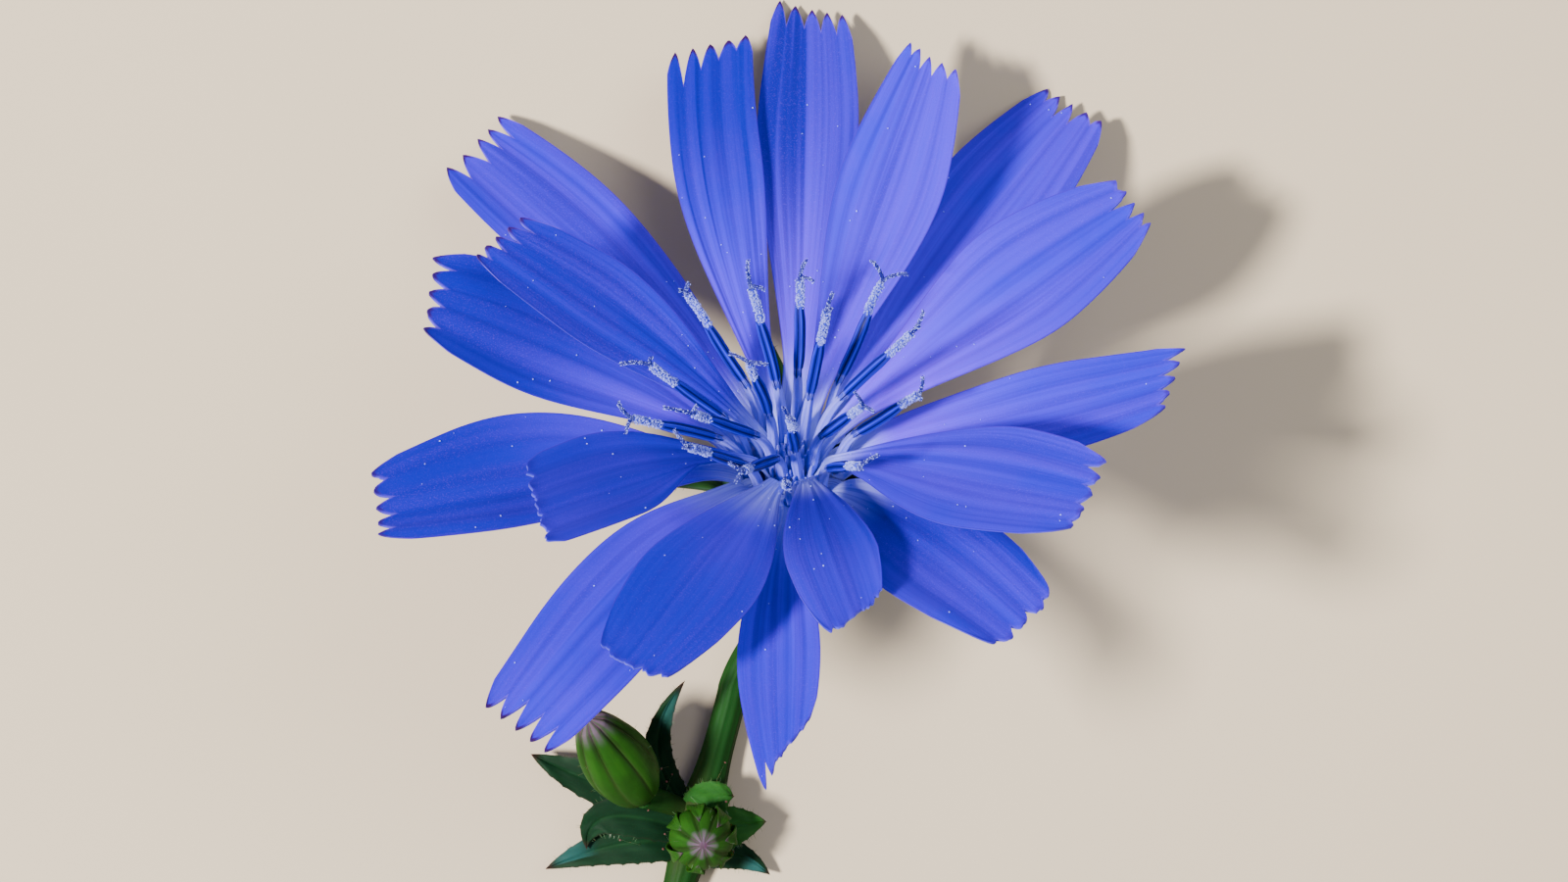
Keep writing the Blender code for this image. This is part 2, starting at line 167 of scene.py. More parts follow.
def grainsShape(centres, sizes, draw, kind=0, **values):  # small lumps with twenty faces each
    g = (1 + math.sqrt(5)) / 2
    lump = np.array([(-1, g, 0), (1, g, 0), (-1, -g, 0), (1, -g, 0), (0, -1, g), (0, 1, g), (0, -1, -g),
                     (0, 1, -g), (g, 0, -1), (g, 0, 1), (-g, 0, -1), (-g, 0, 1)]) / math.hypot(1, g)
    skin = np.array([(0, 11, 5), (0, 5, 1), (0, 1, 7), (0, 7, 10), (0, 10, 11), (1, 5, 9), (5, 11, 4),
                     (11, 10, 2), (10, 7, 6), (7, 1, 8), (3, 9, 4), (3, 4, 2), (3, 2, 6), (3, 6, 8),
                     (3, 8, 9), (4, 9, 5), (2, 4, 11), (6, 2, 10), (8, 6, 7), (9, 8, 1)])
    count = len(centres)
    turn = np.linalg.qr(draw.normal(size=(count, 3, 3)))[0]
    turn *= np.sign(np.linalg.det(turn))[:, None, None]
    rough = 1 + draw.uniform(-0.3, 0.3, (count, 12, 1))
    stretch = np.stack([np.ones(count), draw.uniform(0.6, 1, count), np.ones(count)], -1)
    local = lump * rough * stretch[:, None] * np.asarray(sizes)[:, None, None]
    points = (np.einsum("nij,nkj->nki", turn, local) + np.asarray(centres)[:, None]).reshape(-1, 3)
    faces = (skin[None] + np.arange(count)[:, None, None] * 12).reshape(-1, 3).tolist()
    numbers = {key: np.full(len(points), value, float) for key, value in values.items()}
    return {"points": points, "faces": faces, "kind": kind, "values": numbers}


def hairsShape(roots, ways, lengths, radius, kind=0):  # thin cones with three sides and one joint
    ways = unit(np.asarray(ways, float))
    side = unit(np.cross(ways, (0.31, 0.52, 0.79)))
    other = np.cross(ways, side)
    points = []
    for part, thick in ((0, 1), (0.5, 0.65), (1, 0)):
        middle = roots + ways * lengths[:, None] * part
        turns = roundAngles(3) if thick else (0,)
        points += [middle + (side * math.cos(a) + other * math.sin(a)) * radius * thick for a in turns]
    skin = [(0, 2, 1), (0, 1, 4, 3), (1, 2, 5, 4), (2, 0, 3, 5), (3, 4, 6), (4, 5, 6), (5, 3, 6)]
    faces = [[k * 7 + i for i in face] for k in range(len(roots)) for face in skin]
    numbers = {"along": np.tile((0, 0, 0, 0.5, 0.5, 0.5, 1.0), len(roots))}
    return {"points": np.stack(points, 1).reshape(-1, 3), "faces": faces, "kind": kind, "values": numbers}


def makePiece(name, shapes, paints, node=None):
    start, faces, kinds = 0, [], []
    for shape in shapes:
        faces += [[k + start for k in face] for face in shape["faces"]]
        kinds += [shape["kind"]] * len(shape["faces"])
        start += len(shape["points"])
    mesh = bpy.data.meshes.new(name)
    mesh.from_pydata((np.concatenate([shape["points"] for shape in shapes]) * mm).tolist(), [], faces)
    for key in sorted({key for shape in shapes for key in shape["values"]}):
        numbers = [shape["values"].get(key, np.zeros(len(shape["points"]))) for shape in shapes]
        layer = mesh.attributes.new(key, "FLOAT", "POINT")
        layer.data.foreach_set("value", np.concatenate(numbers).astype("f"))
    for paint in paints:
        mesh.materials.append(paint)
    mesh.polygons.foreach_set("material_index", np.array(kinds, np.int32))
    mesh.shade_smooth()
    mesh.set_sharp_from_angle(angle=sharpAngle)
    piece = bpy.data.objects.new(name, mesh)
    bpy.context.scene.collection.objects.link(piece)
    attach(piece, "root")
    if node:
        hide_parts(node)


# Shader helpers: a value is a number, a colour or another node's socket
def addNode(tree, kind, inputs=None, **settings):
    made = tree.nodes.new(kind)
    for key, value in settings.items():
        setattr(made, key, value)
    for key, value in (inputs or {}).items():
        if isinstance(value, bpy.types.NodeSocket):
            tree.links.new(value, made.inputs[key])
        else:
            made.inputs[key].default_value = (*value, 1) if isinstance(value, tuple) else value
    return made


def calc(tree, operation, *values):
    return addNode(tree, "ShaderNodeMath", dict(enumerate(values)), operation=operation).outputs[0]


def times(tree, first, *others):
    for value in others:
        first = calc(tree, "MULTIPLY", first, value)
    return first


def summed(tree, *parts):  # each part is a value and its share
    total = 0.0
    for value, share in parts:
        total = calc(tree, "MULTIPLY_ADD", value, share, total)
    return total


def mixColour(tree, factor, a, b):
    return addNode(tree, "ShaderNodeMix", {0: factor, 6: a, 7: b}, data_type="RGBA").outputs[2]


def layered(tree, look, *coats):  # over the main colour; each coat is a mask, its strength and its colour
    colour = look["main"]
    for mask, strength, coat in coats:
        colour = mixColour(tree, times(tree, mask, strength), colour, look[coat])
    return colour


def fade(tree, value, low, high, start=0.0, end=1.0):  # eased from start at low to end at high
    inputs = {"Value": value, "From Min": low, "From Max": high, "To Min": start, "To Max": end}
    return addNode(tree, "ShaderNodeMapRange", inputs, interpolation_type="SMOOTHSTEP").outputs["Result"]


def kept(tree, name):  # a value kept at the mesh's points
    return addNode(tree, "ShaderNodeAttribute", attribute_name=name).outputs["Fac"]


def noiseAt(tree, place, scale, detail):
    inputs = {"Vector": place, "Scale": scale, "Detail": detail}
    return addNode(tree, "ShaderNodeTexNoise", inputs).outputs["Fac"]


def cellPlace(tree, size):  # where on the piece, and the scale that makes cells of this size in millimetres
    return addNode(tree, "ShaderNodeTexCoord").outputs["Object"], calc(tree, "DIVIDE", 1 / mm, size)


# Groups of nodes, shared by the skins
def newGroup(name, inputs, outputs):
    group = bpy.data.node_groups.new(name, "ShaderNodeTree")
    for label, value in inputs.items():
        socket = group.interface.new_socket(label, in_out="INPUT", socket_type="NodeSocketFloat")
        socket.default_value = value
    for label in outputs:
        group.interface.new_socket(label, in_out="OUTPUT", socket_type="NodeSocketFloat")
    return group, addNode(group, "NodeGroupInput").outputs, addNode(group, "NodeGroupOutput").inputs


def useGroup(tree, group, **values):
    return addNode(tree, "ShaderNodeGroup", values, node_tree=group).outputs


def streakGroup():  # long streaks that follow a blade, a stem or a bract
    inputs = {"Across": 0, "Along": 0, "Seed": 0, "Count": 6, "Stretch": 1.2, "Low": 0.4, "High": 0.62}
    group, given, result = newGroup("streaks", inputs, ["Mask"])
    place = addNode(group, "ShaderNodeCombineXYZ", {
        0: times(group, given["Across"], given["Count"]),
        1: times(group, given["Along"], given["Stretch"]),
        2: times(group, given["Seed"], 7.31)})
    noise = noiseAt(group, place.outputs[0], 1.0, 2.0)
    group.links.new(fade(group, noise, given["Low"], given["High"]), result["Mask"])
    return group


def grainGroup():  # the cells of a skin: Size is the width of a cell in millimetres
    group, given, result = newGroup("grain", {"Size": 0.1, "Sparkle": 0.7}, ["Height", "Mask"])
    place, fine = cellPlace(group, given["Size"])
    noise = noiseAt(group, place, fine, 1.5)
    cells = addNode(group, "ShaderNodeTexVoronoi", {"Vector": place, "Scale": fine})
    height = calc(group, "MULTIPLY_ADD", cells.outputs["Distance"], -0.4, noise)
    group.links.new(height, result["Height"])
    group.links.new(fade(group, noise, given["Sparkle"], 0.85), result["Mask"])
    return group


def blotchGroup():  # wide soft patches: Size is their width in millimetres
    group, given, result = newGroup("blotches", {"Size": 3.0, "Low": 0.4, "High": 0.65}, ["Mask"])
    noise = noiseAt(group, *cellPlace(group, given["Size"]), 2.5)
    group.links.new(fade(group, noise, given["Low"], given["High"]), result["Mask"])
    return group


def edgeGroup():  # one at an edge and nothing beyond Width
    group, given, result = newGroup("edge line", {"Distance": 1.0, "Width": 0.1}, ["Mask"])
    inner = times(group, given["Width"], 0.35)
    group.links.new(fade(group, given["Distance"], inner, given["Width"], 1.0, 0.0), result["Mask"])
    return group


streaks, grain, blotches, edgeLine = streakGroup(), grainGroup(), blotchGroup(), edgeGroup()


def streaked(tree, across, count, stretch, low=0.4, high=0.62, shift=0.0):  # by the values at the points
    seed = calc(tree, "ADD", kept(tree, "which"), shift)
    return useGroup(tree, streaks, Across=kept(tree, across), Along=kept(tree, "along"), Seed=seed,
                    Count=count, Stretch=stretch, Low=low, High=high)["Mask"]


def edged(tree, distance, width):
    return useGroup(tree, edgeLine, Distance=kept(tree, distance), Width=width)["Mask"]


def newPaint(name, roughness, **sockets):
    paint = bpy.data.materials.new(name)
    paint.use_nodes = True
    shader = paint.node_tree.nodes["Principled BSDF"]
    for label, value in {"Roughness": roughness, **sockets}.items():
        shader.inputs[label.replace("_", " ")].default_value = value
    return paint, paint.node_tree


def finishPaint(paint, colour, rough=None, height=None, depth=0.0, strength=0.0):  # depth in millimetres
    tree = paint.node_tree
    sockets = tree.nodes["Principled BSDF"].inputs
    tree.links.new(colour, sockets["Base Color"])
    if rough is not None:
        tree.links.new(rough, sockets["Roughness"])
    if height is not None:
        inputs = {"Height": height, "Distance": depth * mm, "Strength": strength}
        tree.links.new(addNode(tree, "ShaderNodeBump", inputs).outputs["Normal"], sockets["Normal"])
    return paint


# Soft pale skins, shared by the columns, the pollen on the rays and the pith of the stem
columnPaint = {
    "anther": (0.004, 0.001, 0.3), "antherLine": (0.0, 0.0, 0.06), "antherPale": (0.014, 0.015, 0.72),
    "style": (0.04, 0.05, 0.6), "branch": (0.003, 0.001, 0.13), "pollen": (0.27, 0.32, 0.98),
    "filament": (0.2, 0.2, 0.86), "filamentLine": (0.1, 0.11, 0.72),
}


def makeSoftPaint(name, colour, shade, amount, size):  # with fine cells of the shade
    paint, tree = newPaint(name, 0.6, Specular_IOR_Level=0.15, Subsurface_Weight=0.3,
                           Subsurface_Scale=0.25 * mm, Subsurface_Radius=(0.5, 0.5, 1.0))
    cells = useGroup(tree, grain, Size=size, Sparkle=0.52)
    patch = useGroup(tree, blotches, Size=size * 5, Low=0.4, High=0.6)["Mask"]
    look = {"main": colour, "shade": shade}
    mixed = layered(tree, look, (cells["Mask"], amount, "shade"), (patch, amount * 0.6, "shade"))
    rough = calc(tree, "MULTIPLY_ADD", patch, 0.2, 0.5)
    return finishPaint(paint, mixed, rough, cells["Height"], 0.02, 0.6)


# Ray florets
rayPaint = {
    "main": (0.032, 0.0, 0.9), "light": (0.085, 0.002, 0.99), "deep": (0.001, 0.0, 0.25),
    "lilac": (0.15, 0.02, 0.96), "base": (0.3, 0.33, 0.98), "margin": (0.03, 0.002, 0.34),
    "tooth": (0.03, 0.005, 0.02), "rim": (0.25, 0.1, 0.98), "under": (0.13, 0.14, 0.74),
    "marginWidth": 0.075, "rimWidth": 0.16, "pointWidth": 0.2, "throughLight": 0.35, "scatter": 0.5,
}
# how many streaks lie across a ray and how short they are, where each begins and is full, and a shift
rayStreaks = {
    "wide": (2.2, 0.5), "band": (4.4, 0.7, 0.5, 0.68, 0.5), "narrow": (9.0, 1.1, 0.44, 0.66),
    "hair": (26.0, 2.5, 0.45, 0.65),
}


def makeRayPaint(look):
    paint, tree = newPaint(
        "petal blue", 0.48, Specular_IOR_Level=0.03, Subsurface_Weight=look["throughLight"],
        Subsurface_Scale=look["scatter"] * mm, Subsurface_Radius=(0.3, 0.3, 1.0))
    along, tooth, cap = kept(tree, "along"), kept(tree, "tooth"), kept(tree, "cap")
    wide, band, narrow, hair = (streaked(tree, "across", *row) for row in rayStreaks.values())
    cells = useGroup(tree, grain, Size=0.07, Sparkle=0.5)
    patch = useGroup(tree, blotches, Size=5.0)["Mask"]
    stripes = calc(tree, "MAXIMUM", times(tree, band, kept(tree, "banded")), times(tree, narrow, 0.22))
    # furrow: the dark lines that run into the notches along the pleats' valleys, partly painted shade in
    # those valleys
    stripes = calc(tree, "MAXIMUM", stripes, times(tree, kept(tree, "furrow"), 0.4))
    lilac = times(tree, fade(tree, along, 0.8, 0.35), fade(tree, along, 0.1, 0.3), kept(tree, "lilac"))
    claw = fade(tree, calc(tree, "DIVIDE", along, kept(tree, "pale")), 1.0, 0.34)
    margin = times(tree, edged(tree, "edge", look["marginWidth"]), fade(tree, along, 0.1, 0.25))
    rim = times(tree, edged(tree, "tip", look["rimWidth"]), cap, calc(tree, "SUBTRACT", 1.0, tooth))
    point = times(tree, edged(tree, "tip", look["pointWidth"]), cap, fade(tree, tooth, 0.35, 0.75))
    colour = layered(
        tree, look, (wide, 0.6, "light"), (patch, 0.4, "light"),
        (stripes, fade(tree, along, 0.12, 0.5), "deep"),
        # the ray's own deeper blue, with painted shade where a ray faces away from the key light or lies in
        # another's shadow
        (hair, 0.06, "deep"), (kept(tree, "rich"), 1.0, "deep"), (lilac, 0.8, "lilac"),
        (claw, calc(tree, "MULTIPLY_ADD", narrow, -0.4, 1.0), "base"),
        # partly the petal's fine grain, partly painted sparkle: cells lightened towards the rim colour, most
        # on the light streaks
        (cells["Mask"], calc(tree, "MULTIPLY_ADD", wide, 0.12, 0.06), "rim"),
        (kept(tree, "under"), calc(tree, "MULTIPLY_ADD", narrow, 0.35, 0.4), "under"),
        (margin, 0.5, "margin"), (rim, 0.3, "rim"), (point, 0.9, "tooth"))
    rough = calc(tree, "MULTIPLY_ADD", cells["Height"], 0.2, 0.42)
    height = summed(tree, (cells["Height"], 0.35), (hair, -0.12), (narrow, -0.5))
    return finishPaint(paint, colour, rough, height, 0.05, 0.35)


# radius of the root, width and rise of the claw, how far along the blade is full, its swelling, and the
# radius of the floret's tube below the claw
outerRing = {"radius": 2.5, "claw": 0.9, "rise": 1.7, "full": 0.85, "swell": 1.6, "tube": 0.42}
innerRing = {"radius": 1.3, "claw": 0.62, "rise": 2.6, "full": 0.8, "swell": 1.95, "tube": 0.3}
raySet = {
    "toothStep": 0.41, "cornerReach": 0.2, "perTooth": 10, "rows": 96, "arc": 1.05, "specks": 16,
    "tubeHeights": (-7.6, -5.5, -3.8, -2.3, -1.4, -0.7), "tubeCurl": 2.5, "mouth": 0.07, "clawSpread": 0.9,
    "thick": 0.16, "marginThick": 0.07, "pleat": 0.012, "cup": 0.2, "sideLength": 0.28, "pointLift": 0.13,
}
teeth = np.arange(-2, 3) * raySet["toothStep"]  # places across the blade, from -1 to 1
notches = np.arange(-1.5, 2) * raySet["toothStep"]
# root azimuth, then the tip's azimuth, reach and lift, widest width, slope of the tip, side bend, roll, slant
# and narrowing of the toothed end; depths of the four notches, how far the corners stand back, how ragged
# the end is; how deep its blue is and how much deeper at the tip, partly the ray's own blue and partly
# painted shade where it faces away from the key light or lies in another ray's shadow; how lilac, how banded,
# and how far out its claw is pale; and how much fuller each side is and where along, the side of growing
# azimuth first
rayKeys = (
    "ring", "root", "azimuth", "reach", "lift", "wide", "slope", "bend", "roll", "slant", "narrowing",
    "notches", "corners", "ragged", "rich", "deepBlueAndShadeTip", "lilac", "banded", "pale",
    "growingSide", "fallingSide",
)
rayRows = (
    (outerRing, 359, 3.5, 18.2, 5.7, 4.8, 6, 12, 0, -24, 0.3, (0.3, 0.5, 0.6, 0.6), 0.8, 0.06, 0.3, 0.12,
     0.6, 0.42, 0.38, (0.75, 0.36), (0.15, 0.75)),
    (innerRing, 22, 33, 19.9, 6.8, 6.1, 8, 2, 0, -3, 0.55, (0.3, 0.5, 0.8, 0.2), 0.9, 0.05, 0.08, 0.3,
     0.65, 0.42, 0.38, (0.55, 0.85), (0.5, 0.72)),
    (outerRing, 45, 56, 25.15, 2.02, 5.7, -6, 0, 0, -5, 0.45, (0.3, 0.8, 0.9, 0.5), 0.8, 0.04, 0.07, 0.16,
     0.5, 0.42, 0.38, (0.3, 0.85), (0.68, 0.8)),
    (innerRing, 65, 71.3, 21.3, 6.6, 4.5, 4, 2, 0, -19, 0.42, (0.45, 0.6, 0.65, 0.4), 0.7, 0.03, 0.28, -0.15,
     0.4, 0.55, 0.38, (0.18, 0.75), (0.75, 0.72)),
    (outerRing, 88, 87.6, 24.8, 4.7, 5.0, -4, 4, 0, -15, 0.3, (0.85, 0.95, 0.8, 1.0), 0.8, 0.03, 0.2, 0.34,
     0.5, 0.85, 0.38, (0.42, 0.72), (-0.15, 0.85)),
    (innerRing, 109, 100.5, 22.25, 5.6, 4.4, 4, -12, 0, 14, 0.05, (0.4, 0.6, 0.85, 1.3), 0.6, 0.03, 0.2, 0.6,
     0.3, 0.95, 0.38, (-0.12, 0.5), (0.1, 0.7)),
    (outerRing, 130, 129.9, 24.45, 1.82, 5.5, -8, 4, 0, 9, 0.25, (1.0, 1.0, 1.0, 1.0), 0.8, 0.03, 0.27, 0.18,
     0.3, 0.5, 0.38, (0.95, 0.84), (-0.2, 0.7)),
    (innerRing, 152, 154.5, 15.7, 9.4, 5.3, 20, 2, 0, -12, 0.32, (0.75, 0.7, 0.6, 0.4), 0.9, 0.04, 0.67, 0.09,
     0.0, 0.3, 0.38, (0.0, 0.6), (0.0, 0.6)),
    (outerRing, 167, 164.5, 18.1, 7.6, 6.4, 12, 4, 0, 6, 0.36, (0.75, 0.6, 0.55, 0.5), 0.8, 0.04, 0.28, 0.57,
     0.3, 0.42, 0.38, (0.88, 0.76), (0.35, 0.85)),
    (outerRing, 194, 199, 20.7, 6.0, 5.5, 6, 0, 0, -9, 0.4, (0.5, 0.6, 0.6, 0.5), 0.8, 0.06, 0.47, 0.38,
     0.2, 0.42, 0.38, (0.2, 0.92), (1.5, 0.68)),
    (innerRing, 203, 217, 14.8, 9.3, 6.0, 20, 2, 0, -21, 0.1, (0.2, 0.15, 0.2, 0.45), 0.7, 0.12, 0.64, 0.08,
     0.0, 0.3, 0.38, (-1.45, 0.5), (0.0, 0.6)),
    (outerRing, 225, 234, 21.8, 3.6, 5.5, -2, 0, 0, -4, 0.25, (0.8, 1.1, 1.1, 1.0), 0.8, 0.03, 0.44, 0.0,
     0.2, 0.42, 0.45, (0.1, 0.8), (1.3, 0.5)),
    (innerRing, 250, 246, 18.3, 7.5, 5.7, 8, -8, 0, 0, 0.3, (0.25, 0.2, 0.2, 0.3), 1.4, 0.08, 0.68, 0.1,
     0.1, 0.3, 0.56, (0.08, 0.7), (0.2, 0.75)),
    (outerRing, 270, 268.7, 20.6, 4.8, 4.3, 2, 4, 12, 50, 0.55, (0.9, 0.3, 0.2, 0.2), 0.7, 0.08, 0.08, 0.5,
     0.1, 0.42, 0.62, (-0.05, 0.66), (-0.1, 0.95)),
    (innerRing, 296, 281.5, 14.9, 8.3, 4.5, 14, 2, 0, 24, 0.2, (0.2, 0.2, 0.25, 0.25), 1.4, 0.1, 0.95, -0.35,
     0.1, 0.42, 0.5, (-0.15, 0.8), (0.1, 0.8)),
    (outerRing, 313, 306, 18.35, 8.2, 5.7, 10, 0, 0, 9, 0.2, (0.3, 0.35, 0.5, 0.2), 1.5, 0.08, 0.9, -0.3,
     0.1, 0.42, 0.55, (0.85, 0.42), (1.1, 0.65)),
    (innerRing, 338, 329.5, 16.2, 9.15, 6.0, 16, 2, 0, 2, 0.25, (0.2, 0.3, 0.4, 0.8), 1.0, 0.08, 0.5, 0.05,
     0.1, 0.42, 0.44, (0.0, 0.6), (0.85, 0.72)),
)
rays = [dict(zip(rayKeys, row)) for row in rayRows]


def rayEnds(ray):  # control points of the blade's centreline, from the throat to the tip
    ring, root, azimuth, reach = ray["ring"], ray["root"], ray["azimuth"], ray["reach"]
    start = headPoint(ring["radius"], root, 0)
    claw = headPoint(ring["radius"] * 1.1, root, ring["rise"])
    tip = headPoint(reach, azimuth, ray["lift"])
    angle = math.radians(ray["slope"])
    heading = radial(azimuth + ray["bend"]) * math.cos(angle) + headAxis * math.sin(angle)
    return start, claw, tip - heading * reach * 0.5, tip


def rayWidth(ray, t):
    ring = ray["ring"]
    grown = smooth(t / ring["full"]) ** ring["swell"]
    narrowed = 1 - ray["narrowing"] * np.maximum(0, (t - 0.7) / 0.3) ** 2
    return ring["claw"] + (ray["wide"] - ring["claw"]) * grown * narrowed


def rayFrame(ray, t):  # points along the centreline, with the ways along, across and out of the blade
    t = np.asarray(t, float)
    ends = rayEnds(ray)
    along = unit(cubic(ends, t + 0.01) - cubic(ends, t - 0.01))
    turn = (ray["azimuth"] + ray["bend"] - ray["root"] + 180) % 360 - 180
    across = sideways(radial(ray["root"] + turn * smooth(t / 0.5) + 90), along)
    across = turnAbout(across, along, (math.radians(ray["roll"]) * smooth(t))[..., None])
    return cubic(ends, t), along, across, np.cross(along, across)


def toothOutline(ray, u, draw):  # how far the end stands back at u, and how near a tooth's middle u is
    k = np.abs(u[:, None] - teeth).argmin(1)
    side = np.where(u > teeth[k], k, k - 1)
    inside = (side >= 0) & (side < len(notches))
    side = np.clip(side, 0, len(notches) - 1)
    reach = np.where(inside, np.abs(notches[side] - teeth[k]), raySet["cornerReach"])
    x = np.clip(np.abs(u - teeth[k]) / reach, 0, 1)
    depth = np.where(inside, np.array(ray["notches"])[side], 1.5 * ray["corners"])
    back = depth * (0.3 * x + 0.7 * x ** 2.2) + max(0, ray["corners"] - 0.8) * np.abs(u) ** 5
    rough = np.interp(u, np.linspace(-1, 1, 34), draw.uniform(-1, 1, 34)) * ray["ragged"]
    return back + rough, 1 - x


def rayWave(u, t, draw):  # the soft unevenness of a blade
    phase = draw.uniform(0, 6.28, 4)
    wave = 0.12 * np.sin(7 * t + phase[0]) * u ** 3 + 0.05 * np.sin(13 * t + phase[1] + 2 * u) * np.abs(u)
    wave += 0.05 * np.sin(4.5 * u + phase[2] + 1.5 * t) + 0.03 * np.sin(8 * u + phase[3] - t)
    return wave + 0.014 * np.sin(15 * u + phase[0] + 2 * t)


def rayTube(ring, root, u):  # rows of points from the seed up to the claw
    curled = raySet["tubeCurl"] * u[:, None]
    aside = radial(root + 90) * ring["tube"] * np.sin(curled)
    inward = radial(root) * ring["tube"] * (np.cos(curled) - 1)
    return headPoint(ring["radius"], root, raySet["tubeHeights"])[:, None] + aside + inward


def rayShape(number, ray, draw):
    ring, root = ray["ring"], ray["root"]
    knots = np.sort(np.concatenate([(-1, 1), teeth, notches]))
    steps = raySet["perTooth"] // 2
    u = np.append([np.linspace(a, b, steps, endpoint=False) for a, b in zip(knots, knots[1:])], 1.0)
    back, tooth = toothOutline(ray, u, draw)
    slant = math.tan(math.radians(ray["slant"]))
    back = back + slant * (u + 0.3 * abs(slant)) * rayWidth(ray, 1) / 2
    length = ray["reach"] * raySet["arc"]
    rows = np.linspace(0, 1, raySet["rows"])[:, None]
    rows = rows + 0.02 * np.sin(2 * math.pi * rows)  # closer together at both ends
    t = rows - back / length * smooth((rows - 0.55) / 0.45)
    centre, _, across, normal = rayFrame(ray, t)
    closing = smooth((raySet["mouth"] - t) / raySet["mouth"])
    curl = raySet["cup"] + (raySet["tubeCurl"] - raySet["cup"]) * closing
    half = rayWidth(ray, t) / 2 * (1 + raySet["clawSpread"] * smooth((0.32 - t) / 0.27))
    tubeHalf = ring["tube"] * raySet["tubeCurl"]
    half = half * (1 - closing) + tubeHalf * closing
    for (fuller, place), side in ((ray["growingSide"], u), (ray["fallingSide"], -u)):
        half = half + fuller * np.exp(-((t - place) / raySet["sideLength"]) ** 2) * np.clip(side * 3, 0, 1)
    grown = smooth(t / 0.3)
    rise = half * (1 - np.cos(curl * u)) / curl + grown * rayWave(u, t, draw) * np.minimum(1, half / 2)
    rise += grown * raySet["pleat"] * np.cos(2 * math.pi * u / raySet["toothStep"])
    tipNear = (t[-1:] - t) * length
    rise += raySet["pointLift"] * tooth * smooth(1 - tipNear / 0.5) ** 2  # each tooth's point turns up
    middle = centre + across * (half * np.sin(curl * u) / curl)[..., None] + normal * rise[..., None]
    foot = rayTube(ring, root, u)
    middle = np.concatenate([foot, middle])
    normal = np.concatenate([np.broadcast_to(-radial(root), foot.shape), normal])
    thick = raySet["marginThick"] + (raySet["thick"] - raySet["marginThick"]) * (1 - np.abs(u) ** 6)
    out = normal * thick[None, :, None] / 2
    footT = np.repeat(np.array(raySet["tubeHeights"])[:, None] * 0.02, len(u), 1)
    allT = np.concatenate([footT, t])
    # the pleats' valleys run into the notches; their darkening is partly painted shade
    furrow = np.exp(-((np.abs(u[:, None] - notches).min(1)) / 0.055) ** 2)
    return bladeShape(
        middle + out, middle - out, across=u, along=allT, tooth=tooth, which=number,
        edge=(1 - np.abs(u)) * np.concatenate([np.full_like(footT, tubeHalf), half]),
        tip=np.concatenate([np.full_like(footT, noEdge), tipNear]),
        cap=min(1.0, np.mean(ray["notches"]) / 0.65) ** 2, furrow=furrow * smooth((allT - 0.25) / 0.4),
        # deeper blue kept at the points: partly the ray's own blue, partly painted shade
        rich=ray["rich"] + ray["deepBlueAndShadeTip"] * smooth((allT - 0.5) / 0.4),
        lilac=ray["lilac"], banded=ray["banded"], pale=ray["pale"])


def specksOn(shape, draw):  # pollen and lint lying on the blade, most of it near the throat
    count = raySet["specks"]
    grid = shape["points"][:len(shape["points"]) // 2]
    along, edge = (shape["values"][key][:len(grid)] for key in ("along", "edge"))
    near = np.flatnonzero((along > 0.12) & (edge > 0.1))
    chosen = near[(len(near) * draw.uniform(0, 1, count) ** 1.6).astype(int)]
    return grainsShape(grid[chosen] + headAxis * 0.03, draw.uniform(0.02, 0.05, count), draw, kind=1)


petalBlue = makeRayPaint(rayPaint)
pollenPaint = makeSoftPaint("pollen", columnPaint["pollen"], columnPaint["style"], 0.4, 0.06)
for number, ray in enumerate(rays, 1):
    draw = np.random.default_rng(100 + number)
    shape = rayShape(number, ray, draw)
    makePiece(f"rayFloret{number:02d}", [shape, specksOn(shape, draw)], [petalBlue, pollenPaint],
              f"ray_floret_{number:02d}")
print("ray florets made")


# Columns: filaments, anther tube, style and its two branches, with pollen
def makeAntherPaint(look):
    paint, tree = newPaint("anther blue", 0.5, Specular_IOR_Level=0.15)
    wave = calc(tree, "COSINE", times(tree, kept(tree, "around"), 2 * math.pi * anthers))
    seam = fade(tree, wave, -0.45, -0.85)
    lines = streaked(tree, "around", 20.0, 1.5)
    cells = useGroup(tree, grain, Size=0.07, Sparkle=0.6)
    tails = times(tree, fade(tree, kept(tree, "along"), 0.12, 0.03), calc(tree, "SUBTRACT", 1.0, seam))
    colour = layered(
        tree, {**look, "main": look["anther"]}, (fade(tree, wave, 0.35, 1.0), 1.0, "antherPale"),
        (seam, 1.0, "antherLine"), (lines, 0.35, "antherLine"), (cells["Mask"], 0.2, "antherPale"),
        (tails, 0.7, "filament"))
    height = calc(tree, "ADD", cells["Height"], lines)
    return finishPaint(paint, colour, calc(tree, "MULTIPLY_ADD", lines, 0.2, 0.45), height, 0.02, 0.4)


def makeFilamentPaint(look):  # soft streaks along each bundle
    paint, tree = newPaint("filament", 0.6, Specular_IOR_Level=0.1, Subsurface_Weight=0.4,
                           Subsurface_Scale=0.35 * mm, Subsurface_Radius=(0.5, 0.5, 1.0))
    soft, fine = streaked(tree, "around", 7.0, 1.4), streaked(tree, "around", 24.0, 3.0)
    cells = useGroup(tree, grain, Size=0.08, Sparkle=0.55)
    colour = layered(tree, {**look, "main": look["filament"]}, (soft, 0.6, "filamentLine"),
                     (fine, 0.3, "filamentLine"), (cells["Mask"], 0.25, "pollen"))
    return finishPaint(paint, colour, None, calc(tree, "SUBTRACT", cells["Height"], fine), 0.03, 0.5)


